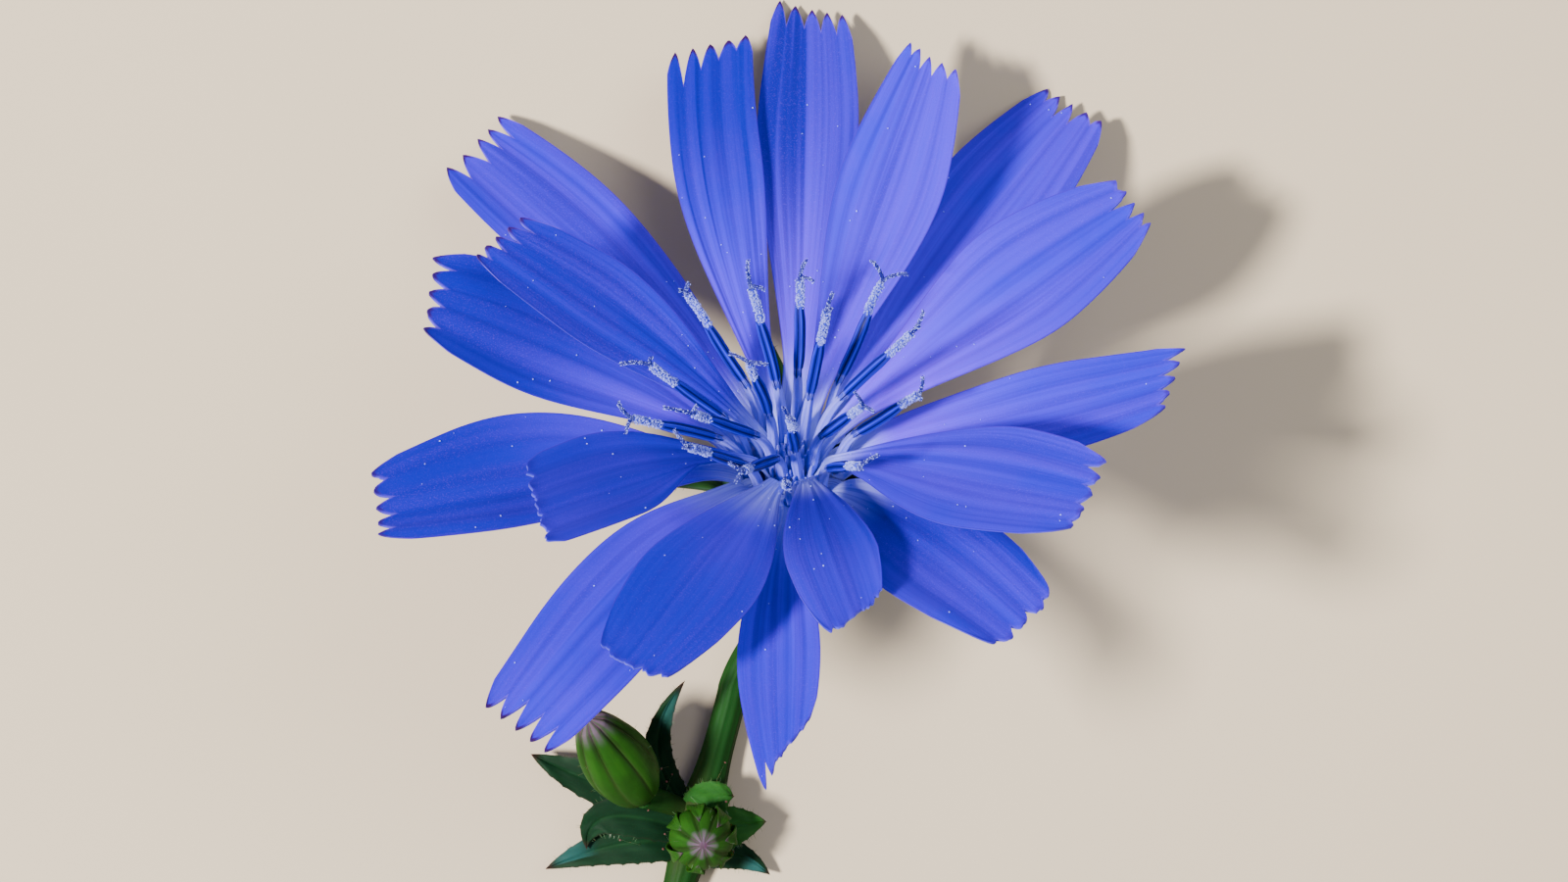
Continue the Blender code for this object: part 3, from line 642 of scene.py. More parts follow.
# where along the claw it stands and how far off it, and lengths and radii. Pollen: how many grains there are
# on a style or branch of the usual length, and their sizes. Hairs: how many, their lengths and their radius
columnSet = {
    "place": 0.15, "clear": 0.77, "anther": 3.4, "antherRadius": 0.275, "antherLean": 0.072, "filament": 0.2,
    "collar": (0.13, 0.21, 0.2), "style": 0.15, "styleSway": 0.08, "usualStyle": 1.8,
    "stylePollen": (330, 0.022, 0.055), "loosePollen": 0.07, "styleHairs": (60, 0.08, 0.18, 0.018),
    "branch": 0.09, "usualBranch": 1.2, "branchPollen": (60, 0.018, 0.036),
    "branchHairs": (40, 0.03, 0.07, 0.01),
}
# azimuth and lean of the column, length of its filaments, side shift and style length, then for its two
# branches, as seen from above: the way it points in the plan, its rise in degrees, and its length
columnKeys = ("azimuth", "lean", "tall", "aside", "style", "firstBranch", "secondBranch")
columnRows = (
    (348.5, 37, 2.0, 0, 1.4, (75, 40, 1.25), (-60, 20, 0.4)),
    (8.5, 36.5, 3.7, -0.25, 2.0, (60, 30, 1.4), (40, 55, 0.9)),
    (55, 42.5, 2.2, 0.1, 1.8, (118, 25, 1.4), (16, 20, 1.5)),
    (46, 11.5, 2.35, -0.14, 2.3, (73, 40, 1.2), (20, 70, 0.7)),
    (87.5, 27.5, 2.05, -0.1, 1.5, (73, 35, 1.3), (-15, 15, 0.85)),
    (120.5, 26, 2.6, -0.1, 2.0, (99, 30, 1.6), (-15, 10, 0.85)),
    (142.5, 39.5, 2.0, -0.1, 2.1, (152, 40, 0.65), (78, 45, 0.85)),
    (213, 12.5, 2.05, -0.19, 1.4, (154, 15, 1.25), (-8, 15, 1.05)),
    (180, 40, 2.5, 0.25, 1.9, (178, 15, 1.6), (83, 40, 0.6)),
    (197, 52, 2.5, -0.14, 1.8, (133, 30, 1.3), (250, 15, 0.95)),
    (205, 42, 2.45, 0, 1.3, (168, 15, 1.6), (63, 45, 0.7)),
    (222, 37, 2.8, 0.2, 2.1, (130, 30, 1.4), (170, 60, 0.6)),
    (243, 46.5, 1.55, -0.15, 1.1, (150, 30, 1.0), (237, 20, 0.85)),
    (268, 39, 2.5, -0.06, 0.7, (110, 65, 0.8), (-50, 40, 0.5)),
    (263, 21.5, 2.1, -0.22, 2.0, (118, 40, 0.95), (-15, 40, 0.4)),
    (295, 37, 2.3, -0.2, 1.9, (30, 25, 1.3), (-60, 40, 0.4)),
    (319.5, 28.5, 2.35, 0, 1.6, (121, 25, 1.0), (-26, 20, 0.75)),
)
columns = [dict(zip(columnKeys, row)) for row in columnRows]


def columnLine(ray, place):  # foot of the filaments, foot and head of the anther tube, and its heading
    root, _, across, normal = rayFrame(ray, columnSet["place"])
    start = root + normal * columnSet["clear"] + across * place["aside"]
    angle = math.radians(place["lean"])
    heading = radial(place["azimuth"]) * math.sin(angle) + headAxis * math.cos(angle)
    base = start + unit(heading + headAxis) * place["tall"]
    return start, base, base + heading * columnSet["anther"], heading


def swayed(path, heading, most, draw):  # a straight rod's path, bent a little to one side
    side, other = crossWays(heading)
    sway = draw.uniform(-most, most, 2)
    return path + (side * sway[0] + other * sway[1]) * np.sin(np.linspace(0, math.pi, len(path)))[:, None]


def branchPath(fork, heading, branch):
    azimuth, rise, length = branch
    a, b = math.radians(azimuth), math.radians(rise)
    goal = np.array((math.cos(a) * math.cos(b), math.sin(a) * math.cos(b), math.sin(b)))
    s = np.linspace(0, 1, 15)[:, None]
    ways = unit(heading * (1 - smooth(s / 0.45)) + goal * (0.25 + 0.75 * smooth(s / 0.45)))
    ways = unit(ways + unit(goal - heading * 0.9) * 0.55 * smooth((s - 0.55) / 0.45))
    steps = ways * length / (len(s) - 1)
    return fork + np.cumsum(steps, 0) - steps[0]


def coatedWith(path, radius, count, draw):  # random spots on a rod, and the ways out of it
    side, other = crossWays(unit(np.gradient(path, axis=0)), np.array((0.3, 0.5, 0.8)))
    k = draw.uniform(0, len(path) - 1.001, count)
    i, s = k.astype(int), (k % 1)[:, None]
    angle = draw.uniform(0, 2 * math.pi, count)[:, None]
    out = side[i] * np.cos(angle) + other[i] * np.sin(angle)
    return path[i] * (1 - s) + path[i + 1] * s + out * radius, out


def pollenOn(path, radius, pollen, share, draw, loose=0.0):  # grains on a rod, or a little off it
    count = int(pollen[0] * share)
    spots, out = coatedWith(path, radius, count, draw)
    if loose:
        spots = spots + out * draw.uniform(0, loose, count)[:, None]
    return grainsShape(spots, draw.uniform(*pollen[1:], count), draw, kind=2)


def hairsOn(path, radius, hairs, share, draw, lean=0.0):
    count = int(hairs[0] * share)
    roots, ways = coatedWith(path, radius, count, draw)
    return hairsShape(roots, ways + lean, draw.uniform(*hairs[1:3], count), hairs[3], kind=2)


def filamentShape(number, ray, place):  # five filaments side by side, from the claw into the anther tube
    start, base, _, heading = columnLine(ray, place)
    mouth, _, _, inward = rayFrame(ray, 0.0)
    root = mouth + inward * ray["ring"]["tube"]
    s = np.linspace(0, 1, 22)
    ends = (root, start + headAxis * 0.2, base - heading * place["tall"] * 0.5, base + heading * 0.3)
    loose = columnSet["filament"] * (0.85 + 0.2 * np.sin(math.pi * s) + 0.25 * (1 - s))
    sides = 30
    lobes = np.cos(anthers * roundAngles(sides))
    return tubeShape(cubic(ends, s), loose[:, None] * (1 + 0.17 * lobes), sides, kind=3, which=number)


def antherShape(number, base, heading, draw):  # five joined anthers, with pointed tips and free tails
    rows, sides = 30, 40
    s = np.linspace(0, 1, rows)
    path = swayed(base + heading * columnSet["anther"] * s[:, None], heading, columnSet["antherLean"], draw)
    lobes = np.cos(anthers * roundAngles(sides))
    full = columnSet["antherRadius"] * (0.82 + 0.18 * smooth(s / 0.25)) * (1 - 0.16 * smooth((s - 0.8) / 0.2))
    radii = full[:, None] * (1 + 0.07 * lobes - 0.1 * np.clip(-lobes - 0.55, 0, 1))
    shape = tubeShape(path, radii, sides, which=number)
    ends = shape["points"].reshape(rows, sides, 3)
    ends[-1] += heading * (0.1 * (1 + lobes))[:, None] - (ends[-1] - path[-1]) * 0.12  # tips
    ends[1] -= heading * (0.5 * np.clip(-lobes, 0, 1) ** 1.5 - 0.1)[:, None]  # tails
    ends[0] += (path[0] - ends[0]) * 0.6 + heading * 0.3
    return shape


def columnShapes(number, ray, place, draw):
    _, base, top, heading = columnLine(ray, place)
    anther = antherShape(number, base, heading, draw)
    collar = base + heading * np.array((-0.35, -0.1, 0.2))[:, None]
    shapes = [filamentShape(number, ray, place), anther,
              tubeShape(collar, columnSet["collar"], 16, kind=1, which=number)]
    fork = top + heading * place["style"]
    s = np.linspace(0, 1, 16)
    foot = top - heading * 0.3
    style = swayed(foot + (fork - foot) * s[:, None], heading, columnSet["styleSway"], draw)
    radius = columnSet["style"]
    shapes.append(tubeShape(style, radius * (1.1 - 0.1 * s), 12, kind=1, which=number))
    bare = style[3:]  # the rest is inside the anther tube
    share = max(place["style"], 0.7) / columnSet["usualStyle"]
    shapes.append(hairsOn(bare, radius * 0.9, columnSet["styleHairs"], 1, draw, heading * 0.5))
    shapes.append(pollenOn(bare, radius, columnSet["stylePollen"], share, draw, columnSet["loosePollen"]))
    radius = columnSet["branch"]
    for branch in (place["firstBranch"], place["secondBranch"]):
        path = branchPath(fork, heading, branch)
        taper = radius * (1.1 - 0.45 * np.linspace(0, 1, len(path)) ** 2)
        taper[-1] *= 0.4
        share = branch[2] / columnSet["usualBranch"]
        shapes.append(tubeShape(path, taper, 10, kind=4, which=number))
        shapes.append(pollenOn(path, radius, columnSet["branchPollen"], share, draw))
        shapes.append(hairsOn(path, radius * 0.8, columnSet["branchHairs"], share, draw))
    return shapes


columnPaints = [
    makeAntherPaint(columnPaint),
    makeSoftPaint("style lavender", columnPaint["style"], columnPaint["branch"], 0.5, 0.12),
    pollenPaint,
    makeFilamentPaint(columnPaint),
    makeSoftPaint("branch blue", columnPaint["branch"], columnPaint["pollen"], 0.12, 0.08),
]
for number, (ray, place) in enumerate(zip(rays, columns), 1):
    shapes = columnShapes(number, ray, place, np.random.default_rng(200 + number))
    makePiece(f"column{number:02d}", shapes, columnPaints, f"column_{number:02d}")
print("columns made")


# The heart of the throat: slender pale tubes of young florets
heartSet = {
    "count": 58, "spread": 1.3, "foot": -3.2, "top": 1.7, "slope": 0.4, "radius": 0.16, "goldenAngle": 137.5,
    "taper": (0.8, 0.8, 0.8, 0.85, 0.9, 0.95, 1, 1, 0.95, 0.85, 0.65, 0.3), "sides": 15, "lobe": 0.1,
}


def heartShapes(draw):
    shapes = []
    sides = heartSet["sides"]
    rise = np.linspace(0, 1, len(heartSet["taper"]))
    lobes = 1 + heartSet["lobe"] * np.cos(anthers * roundAngles(sides))
    radii = heartSet["radius"] * np.array(heartSet["taper"])[:, None] * lobes
    for k in range(heartSet["count"]):
        away = heartSet["spread"] * math.sqrt((k + 0.5) / heartSet["count"])
        top = heartSet["top"] - heartSet["slope"] * away + draw.uniform(-0.2, 0.2)
        azimuth = heartSet["goldenAngle"] * k + draw.uniform(-8, 8)
        heights = np.linspace(heartSet["foot"], top, len(rise))
        path = headPoint(away * (0.8 + 0.25 * rise ** 3), azimuth, heights)
        shapes.append(tubeShape(path, radii, sides, which=k))
    return shapes


makePiece("throatHeart", heartShapes(np.random.default_rng(90)), [columnPaints[3]])
print("throat filled")


# Green skins
def makeGreenPaint(name, look):
    paint, tree = newPaint(name, 0.5, Specular_IOR_Level=0.06, Subsurface_Weight=0.1,
                           Subsurface_Scale=0.5 * mm)
    ribs = streaked(tree, "across", look["ribs"], look["stretch"])
    patch = useGroup(tree, blotches, Size=look["patch"])["Mask"]
    cells = useGroup(tree, grain, Size=0.09, Sparkle=0.55)
    furrow, shade, bloom, blush = (kept(tree, value) for value in ("furrow", "shade", "bloom", "blush"))
    colour = layered(
        tree, look, (ribs, 0.6, "pale"), (patch, 0.4, "dark"), (cells["Mask"], 0.3, "pale"),
        (furrow, 1.0, "furrow"), (shade, 1.0, "dark"), (bloom, 1.0, "bloom"), (blush, 1.0, "blush"),
        (edged(tree, "edge", 0.1), look["edging"], "blush"))
    rough = calc(tree, "MULTIPLY_ADD", patch, 0.15, 0.55)
    height = summed(tree, (cells["Height"], 0.5), (ribs, -0.4))
    return finishPaint(paint, colour, rough, height, 0.04, look["relief"])


def makeHairPaint(name, colour, tip):
    paint, tree = newPaint(name, 0.5, Subsurface_Weight=0.2, Subsurface_Scale=0.1 * mm)
    return finishPaint(paint, mixColour(tree, fade(tree, kept(tree, "along"), 0.55, 1.0), colour, tip))


# the bloom colour: the bud's pink ridges and the bracts' pale margins, but painted sheen on the leaves' tips
# and painted light inside the cup
stemLook = {"main": (0.004, 0.034, 0.005), "pale": (0.007, 0.05, 0.007), "dark": (0.002, 0.019, 0.003),
            "furrow": (0.006, 0.045, 0.006), "bloom": (0.03, 0.09, 0.07), "blush": (0.05, 0.02, 0.012),
            "ribs": 10.0, "stretch": 2.5, "patch": 3.5, "edging": 0.0, "relief": 0.3}
leafLook = {"main": (0.003, 0.018, 0.007), "pale": (0.005, 0.027, 0.01), "dark": (0.002, 0.011, 0.004),
            "furrow": (0.009, 0.05, 0.013), "bloom": (0.013, 0.06, 0.055), "blush": (0.03, 0.012, 0.012),
            "ribs": 3.0, "stretch": 2.0, "patch": 2.0, "edging": 0.15, "relief": 0.25}
youngLook = {**leafLook, "main": (0.012, 0.07, 0.01), "pale": (0.02, 0.1, 0.013),
             "dark": (0.007, 0.04, 0.006)}
budLook = {"main": (0.009, 0.052, 0.004), "pale": (0.016, 0.076, 0.006), "dark": (0.007, 0.024, 0.003),
           "furrow": (0.026, 0.02, 0.01), "bloom": (0.16, 0.09, 0.17), "blush": (0.1, 0.03, 0.09),
           "ribs": 6.0, "stretch": 1.0, "patch": 1.6, "edging": 0.0, "relief": 0.3}
cupLook = {**budLook, "main": (0.03, 0.12, 0.022), "pale": (0.06, 0.2, 0.035), "bloom": (0.08, 0.14, 0.1),
           "blush": (0.05, 0.03, 0.03), "patch": 2.0, "edging": 0.3}
stemGreen, leafGreen = makeGreenPaint("stem green", stemLook), makeGreenPaint("leaf green", leafLook)
youngGreen, budGreen = makeGreenPaint("young leaf green", youngLook), makeGreenPaint("bud green", budLook)
cupGreen = makeGreenPaint("involucre green", cupLook)
paleHair = makeHairPaint("pale hair", (0.05, 0.11, 0.04), (0.14, 0.18, 0.11))
glandHair = makeHairPaint("gland hair", (0.3, 0.3, 0.2), (0.12, 0.03, 0.03))


# Stem, with its node and the receptacle
stemSet = {
    "radius": 0.78, "cut": (-10.4, -35.4, 0.78), "middle": (-1.0, -3.2, 0.78), "bend": (2.05, 7.9, 0.78),
    "bendHeading": (0.3, 0.954, 0), "bendPull": 2.4,
    "receptacle": ((0.95, -9.6), (1.1, -8.9), (2.55, -8.25), (2.6, -7.9)),  # radius and height of each ring
    "swell": 0.42, "swellPlace": 1.2, "swellLength": 2.2, "sides": 60, "ribs": 11, "ribDepth": 0.06,
    "blush": 0.35, "blushPlace": 1.0, "blushLength": 2.6,
}


def stemLine():
    foot, *disc = [headPoint(0, 0, height) for _, height in stemSet["receptacle"]]
    lying = quadratic((stemSet["cut"], stemSet["middle"], stemSet["bend"]), np.linspace(0, 1, 150))
    swell = stemSet["swell"] * np.exp(-((lying[:, 1] - stemSet["swellPlace"]) / stemSet["swellLength"]) ** 2)
    lying[:, 2] += swell * 0.6
    bend, pull = np.array(stemSet["bend"]), stemSet["bendPull"]
    t = np.linspace(0, 1, 34)[1:]
    rise = cubic((bend, bend + np.array(stemSet["bendHeading"]) * pull, foot - headAxis * pull, foot), t)
    radii = [stemSet["radius"] + swell, stemSet["radius"] + 0.12 * t,
             [radius for radius, _ in stemSet["receptacle"][1:]]]
    return np.concatenate([lying, rise, disc]), np.concatenate(radii)


def stemShapes():
    path, radii = stemLine()
    angle = roundAngles(stemSet["sides"])
    groove = (1 - np.cos(stemSet["ribs"] * angle)) / 2
    blush = np.exp(-((path[:, 1] - stemSet["blushPlace"]) / stemSet["blushLength"]) ** 2) * (path[:, 2] < 3)
    # shade is painted shade: the stem's side turned away from the key light is darker
    body = tubeShape(
        path, radii[:, None] * (1 - stemSet["ribDepth"] * groove), len(angle), floor=0.0,
        blush=stemSet["blush"] * blush[:, None] * (0.5 + 0.5 * np.cos(angle * 3)), furrow=0.35 * groove[None],
        shade=0.6 * smooth(np.cos(angle) * 1.2 - 0.1)[None], edge=noEdge)
    body["values"]["across"] = body["values"]["around"] * 2
    pithPath = path[0] + unit(path[1] - path[0]) * np.array((-0.04, -0.01, 0.25))[:, None]
    return [body, tubeShape(pithPath, (0.5, 0.63, 0.63), 40, kind=3, floor=0.0)]


# Green blades, shared by the leaves and the bracts
def bladeGrid(line, across, normal, half, u, fold, wave, draw):  # folded along the middle, with a wavy face
    t = np.linspace(0, 1, len(line))[:, None]
    phase = draw.uniform(0, 6.28, 2)
    ripple = np.sin(9 * t + 2 * u + phase[0]) + 0.4 * np.sin(23 * t + 5 * u + phase[1])
    rise = fold * half * np.abs(u) ** 1.4 + wave * ripple
    return line[:, None] + across[:, None] * (half * u)[..., None] + normal[:, None] * rise[..., None]


def bladeThickness(u, thick, thin):  # thin is the edge's share of it
    return thick * (thin + (1 - thin) * (1 - np.abs(u) ** 4))[None, :, None]


def greenBlade(middle, normal, half, u, thick, rib=0.0, **values):  # the rib stands out of its back
    out = normal[:, None]
    return bladeShape(middle + out * thick / 2, middle - out * (thick / 2 + rib), across=u,
                      edge=(1 - np.abs(u)) * half, **values)


def edgeHairs(middle, across, lean, rows, settings, draw):  # along both edges of a blade
    count = settings["hairs"]
    k, side = draw.integers(*rows, count), draw.choice((-1, 1), count)
    roots = middle[k, np.where(side > 0, -1, 0)]
    ways = across[k] * side[:, None] + lean[k]
    lengths = draw.uniform(0.12, settings["hairLength"], count)
    return hairsShape(roots, ways, lengths, settings["hairRadius"], kind=1)


leafSet = {
    "rows": 60, "columns": 25, "thick": 0.2, "thin": 0.35, "fold": 0.16, "wave": 0.05, "spines": 9,
    "groove": 0.06, "rib": 0.08, "clearance": 0.13, "hairs": 26, "hairLength": 0.3, "hairRadius": 0.012,
}
# base, middle and tip of each leaf, its width, how much painted bluish sheen its tip has, and young or old
leaves = {
    "leafLowLeft": ((-0.4, 1.9, 1.0), (-4.7, 3.25, 1.9), (-8.0, 4.65, 1.5), 2.3, 0.0, leafGreen),
    "leafUpright": ((-0.5, 2.2, 1.4), (-1.65, 5.2, 3.5), (-0.3, 8.45, 5.4), 1.5, 0.7, leafGreen),
    "leafCurled": ((-0.4, 0.9, 1.5), (-4.1, 1.6, 2.6), (-5.25, 0.0, 1.7), 2.0, 0.0, leafGreen),
    "leafLong": ((-0.4, 0.3, 1.0), (-3.8, 0.1, 1.5), (-7.3, -1.1, 0.9), 2.15, 0.9, leafGreen),
    "leafYoungUpper": ((0.2, 1.7, 1.4), (1.2, 2.5, 2.5), (2.05, 2.65, 2.3), 2.2, 0.0, youngGreen),
    "leafYoungRight": ((0.2, 0.6, 1.4), (2.0, 1.1, 2.1), (3.7, 1.3, 1.9), 2.3, 0.0, youngGreen),
    "leafLowRight": ((0.1, -0.4, 0.9), (2.1, -0.4, 0.95), (3.9, -1.4, 0.8), 1.6, 1.0, leafGreen),
}


def leafShapes(ends, wide, bloom, draw):
    t = np.linspace(0, 1, leafSet["rows"])
    line = quadratic(ends, t)
    along = unit(quadratic(ends, np.minimum(1, t + 0.02)) - quadratic(ends, np.maximum(0, t - 0.02)))
    across = sideways(np.cross((0, 0, 1), along), along)
    normal = np.cross(along, across)
    outline = np.sin(math.pi * (0.2 + 0.8 * t) ** 0.8) ** 0.8
    spines = np.maximum(0, np.sin(2 * math.pi * leafSet["spines"] * t)) ** 3 * (t < 0.85) * (t > 0.1)
    half = (wide / 2 * np.maximum(0.02, outline) + 0.04 * spines * wide * outline)[:, None]
    u = np.linspace(-1, 1, leafSet["columns"])
    rib = np.exp(-(u / 0.09) ** 2)[None, :, None]
    middle = bladeGrid(line, across, normal, half, u, leafSet["fold"], leafSet["wave"], draw)
    middle = middle - normal[:, None] * rib * leafSet["groove"]
    thick = bladeThickness(u, leafSet["thick"], leafSet["thin"])
    middle[..., 2] = np.maximum(middle[..., 2], leafSet["clearance"] + thick[..., 0] / 2)
    t = t[:, None]
    blade = greenBlade(
        middle, normal, half, u, thick, rib * leafSet["rib"], along=t, furrow=rib[..., 0] * 0.6 * (1 - t),
        blush=0.8 * smooth((t - 0.9) / 0.1), shade=0.5 * smooth((0.35 - t) / 0.35),
        # painted sheen: a bluish glint near the tip, on one side of the blade
        bloom=bloom * smooth((t - 0.6) / 0.2) * smooth((1.0 - t) / 0.15) * (u < 0.3))
    return [blade, edgeHairs(middle, across, along * 0.4, (6, leafSet["rows"] - 4), leafSet, draw)]


# Buds: "pink" is how far up the closed rays begin to show, and "opening" how wide the tip stays
largeBud = {"base": (-2.5, 2.85, 3.65), "tip": (-5.05, 6.8, 8.25), "radius": 1.64, "bracts": 8, "turn": 0.4,
            "opening": 0.1, "pink": 0.8, "hairs": 22, "rows": 90, "sides": 160}
smallBud = {"base": (0.45, 0.75, 2.9), "tip": (0.62, 0.35, 5.4), "radius": 1.5, "bracts": 8, "turn": 0.1,
            "opening": 0.2, "pink": 0.9, "hairs": 18, "rows": 70, "sides": 160}


def budAxis(bud):
    base, tip = np.array(bud["base"]), np.array(bud["tip"])
    return base, tip, unit(tip - base)


def budShapes(bud, draw):
    base, tip, heading = budAxis(bud)
    sides, rows = bud["sides"], bud["rows"]
    t = np.linspace(0, 1, rows)
    full = np.sin(math.pi * (0.13 + 0.8 * t ** 0.85)) ** 0.75
    full = full * (1 - smooth((t - 0.93) / 0.07) * (1 - bud["opening"] / full[-1] / 1.6))
    t = t[:, None]
    ridge = np.abs(np.cos(bud["bracts"] * (roundAngles(sides) + bud["turn"]) / 2)) ** 0.45
    depth = 0.07 + 0.16 * t ** 2  # broad backs with narrow furrows between
    path = base + (tip - base) * t
    nearTip = smooth((t - bud["pink"]) / (1 - bud["pink"]))
    furrow = np.clip(1 - ridge * 1.35, 0, 1)
    skin = tubeShape(
        path, bud["radius"] * full[:, None] * (1.08 - depth + depth * ridge), sides, edge=noEdge,
        blush=nearTip * (0.35 + 0.65 * furrow), bloom=0.6 * smooth((ridge - 0.86) / 0.12) * nearTip,
        furrow=furrow * (0.35 + 0.5 * t),
        shade=0.7 * smooth((t - 0.55) / 0.3) * (1 - nearTip) * (ridge < 0.8))
    skin["values"]["across"] = skin["values"]["around"] * 3
    points = skin["points"].reshape(rows, sides, 3)
    count = bud["hairs"]
    i, j = draw.integers(4, int(rows * 0.8), count), draw.integers(0, sides, count)
    ways = unit(points[i, j] - path[i]) + heading * 0.3
    return [skin, hairsShape(points[i, j], ways, draw.uniform(0.15, 0.4, count), 0.012, kind=1)]


# Short pointed bracts round the small bud's foot: where their line passes, in shares of the bud's radius
sepalSet = {
    "count": 7, "reach": ((0.5,), (1.05,), (1.06,), (0.74,)), "rows": 26, "columns": 13, "wide": 0.38,
    "fold": -0.2, "wave": 0.02, "thick": 0.12, "thin": 0.35,
}


def sepalShapes(bud, draw):
    base, tip, way = budAxis(bud)
    side, other = crossWays(way)
    shapes = []
    count = sepalSet["count"]
    for azimuth in roundAngles(count) + draw.uniform(-0.15, 0.15, count):
        out = side * math.cos(azimuth) + other * math.sin(azimuth)
        tall = np.linalg.norm(tip - base) * draw.uniform(0.72, 0.9)
        t = np.linspace(0, 1, sepalSet["rows"])[:, None]
        line = base + out * passThrough(sepalSet["reach"], t[:, 0]) * bud["radius"] + way * tall * t ** 0.9
        along = unit(np.gradient(line, axis=0))
        across = sideways(np.cross(way, out), along)
        normal = np.cross(along, across)
        half = bud["radius"] * sepalSet["wide"] * np.maximum(0.03, (1 - t ** 2.2) * (0.8 + 0.4 * t))
        u = np.linspace(-1, 1, sepalSet["columns"])
        middle = bladeGrid(line, across, normal, half, u, sepalSet["fold"], sepalSet["wave"], draw)
        thick = bladeThickness(u, sepalSet["thick"], sepalSet["thin"])
        shapes.append(greenBlade(middle, normal, half, u, thick, along=t, shade=0.3 * (1 - t),
                                 blush=0.6 * smooth((t - 0.85) / 0.15)))
    return shapes


# The node: stalks that carry the buds, and long hairs with dark glands, set at random in these ranges
nodeSet = {
    "stalk": ((-0.1, 1.7, 1.2), (-1.1, 2.2, 1.9)), "stalkRadius": 0.5, "perch": (0.25, 0.9, 0.9),
    "perchRadius": 0.7, "sunk": 0.3, "hairs": 22, "roots": ((-2.6, 1.2), (-0.6, 4.2), (1.0, 2.2)),
    "ways": ((-1, 1), (-0.6, 1), (0.1, 0.9)), "lengths": (1.2, 2.4), "gland": 0.06,
}


def nodeShapes(draw):
    s = np.linspace(0, 1, 20)
    feet = [base - heading * nodeSet["sunk"] for base, _, heading in (budAxis(largeBud), budAxis(smallBud))]
    stalk = quadratic((*nodeSet["stalk"], feet[0]), s)
    perch = np.array(nodeSet["perch"]) + (feet[1] - np.array(nodeSet["perch"])) * s[:, None]
    shapes = [tubeShape(stalk, nodeSet["stalkRadius"] + 0.1 * s, 30, blush=0.3 * (1 - s), edge=noEdge),
              tubeShape(perch, nodeSet["perchRadius"] - 0.1 * s, 30, blush=0.2 * (1 - s), edge=noEdge)]
    count = nodeSet["hairs"]
    roots, ways = (np.stack([draw.uniform(low, high, count) for low, high in nodeSet[key]], 1)
                   for key in ("roots", "ways"))
    lengths = draw.uniform(*nodeSet["lengths"], count)
    shapes.append(hairsShape(roots, ways, lengths, 0.014, kind=1))
    tips = roots + unit(ways) * lengths[:, None]
    shapes.append(grainsShape(tips, np.full(count, nodeSet["gland"]), draw, kind=2, along=1))
    return shapes


stemPith = makeSoftPaint("stem pith", (0.2, 0.3, 0.1), (0.1, 0.18, 0.05), 0.6, 0.12)
stemPaints = [stemGreen, paleHair, glandHair, stemPith]
makePiece("stem", stemShapes() + nodeShapes(np.random.default_rng(31)), stemPaints, "stem")
for seed, (name, (*ends, wide, bloom, green)) in enumerate(leaves.items(), 40):
    shapes = leafShapes(ends, wide, bloom, np.random.default_rng(seed))
    makePiece(name, shapes, [green, paleHair])
budPaints = [budGreen, paleHair]
makePiece("largeBud", budShapes(largeBud, np.random.default_rng(50)), budPaints, "large_bud")
draw = np.random.default_rng(51)
shapes = budShapes(smallBud, draw) + sepalShapes(smallBud, draw)
makePiece("smallBud", shapes, budPaints, "small_bud")
print("stem, leaves and buds made")


# Involucre: a cup of long bracts with free tips, and short bracts round its base. The profile and the
# stations hold a radius and a height each, the outside of the cup first
cupSet = {
    "profile": ((3.62, -0.75), (3.62, -2.4), (3.74, -4.4), (3.66, -6.6), (3.2, -8.3), (2.1, -9.2),
                (1.0, -9.45), (0.98, -9.25), (2.85, -8.2), (3.04, -6.6), (3.1, -4.4), (3.05, -2.4),
                (3.08, -0.75)),
    "inside": 3.15, "rib": 0.1, "bracts": 8, "turn": 7, "tips": (7, 52, 98, 121, 190, 234, 277, 320),
    "stations": ((3.42, -2.2), (3.48, -0.9), (4.1, -0.25), (5.6, 0.2), (7.4, 0.55)), "width": 2.1,
    "outer": (43, 115, 187, 259, 331), "outerWidth": 2.6, "sides": 192, "rows": 6,
    "outerStations": ((3.3, -8.0), (4.0, -7.0), (4.45, -5.6), (4.75, -3.9)),
}
bractSet = {
    "rows": 40, "columns": 17, "fold": 0.14, "wave": 0.02, "thick": 0.22, "thin": 0.3, "keel": 0.09,
    "hairs": 22, "hairLength": 0.35, "hairRadius": 0.018,
}


def cupShape():
    profile = np.array(cupSet["profile"])
    steps = np.linspace(0, 1, cupSet["rows"], endpoint=False)[:, None]
    dense = np.concatenate([a + (b - a) * steps for a, b in zip(profile, np.roll(profile, -1, axis=0))])
    radius, height = dense[:, :1], dense[:, 1:]
    size = (len(dense), cupSet["sides"])
    azimuth = np.degrees(roundAngles(cupSet["sides"]))
    outside = smooth((radius - cupSet["inside"]) / 0.2)
    ridge = np.abs(np.cos(np.radians(cupSet["bracts"] * (azimuth - cupSet["turn"])) / 2)) ** 0.6
    points = headPoint(radius + outside * (cupSet["rib"] * (2 * ridge - 1.2)), azimuth, height)
    # the inside of the cup is lightened with the bloom colour: painted light where its shade falls
    values = {"furrow": np.clip(1 - ridge * 1.6, 0, 1) * outside * 0.8, "across": azimuth / 90,
              "along": height * 0.1, "edge": noEdge, "bloom": (1 - outside) * 0.5}
    return {"points": points.reshape(-1, 3), "kind": 0,
            "faces": [[a, d, c, b] for a, b, c, d in gridFaces(*size, closed=True, looped=True)],
            "values": {key: np.broadcast_to(value, size).ravel() for key, value in values.items()}}


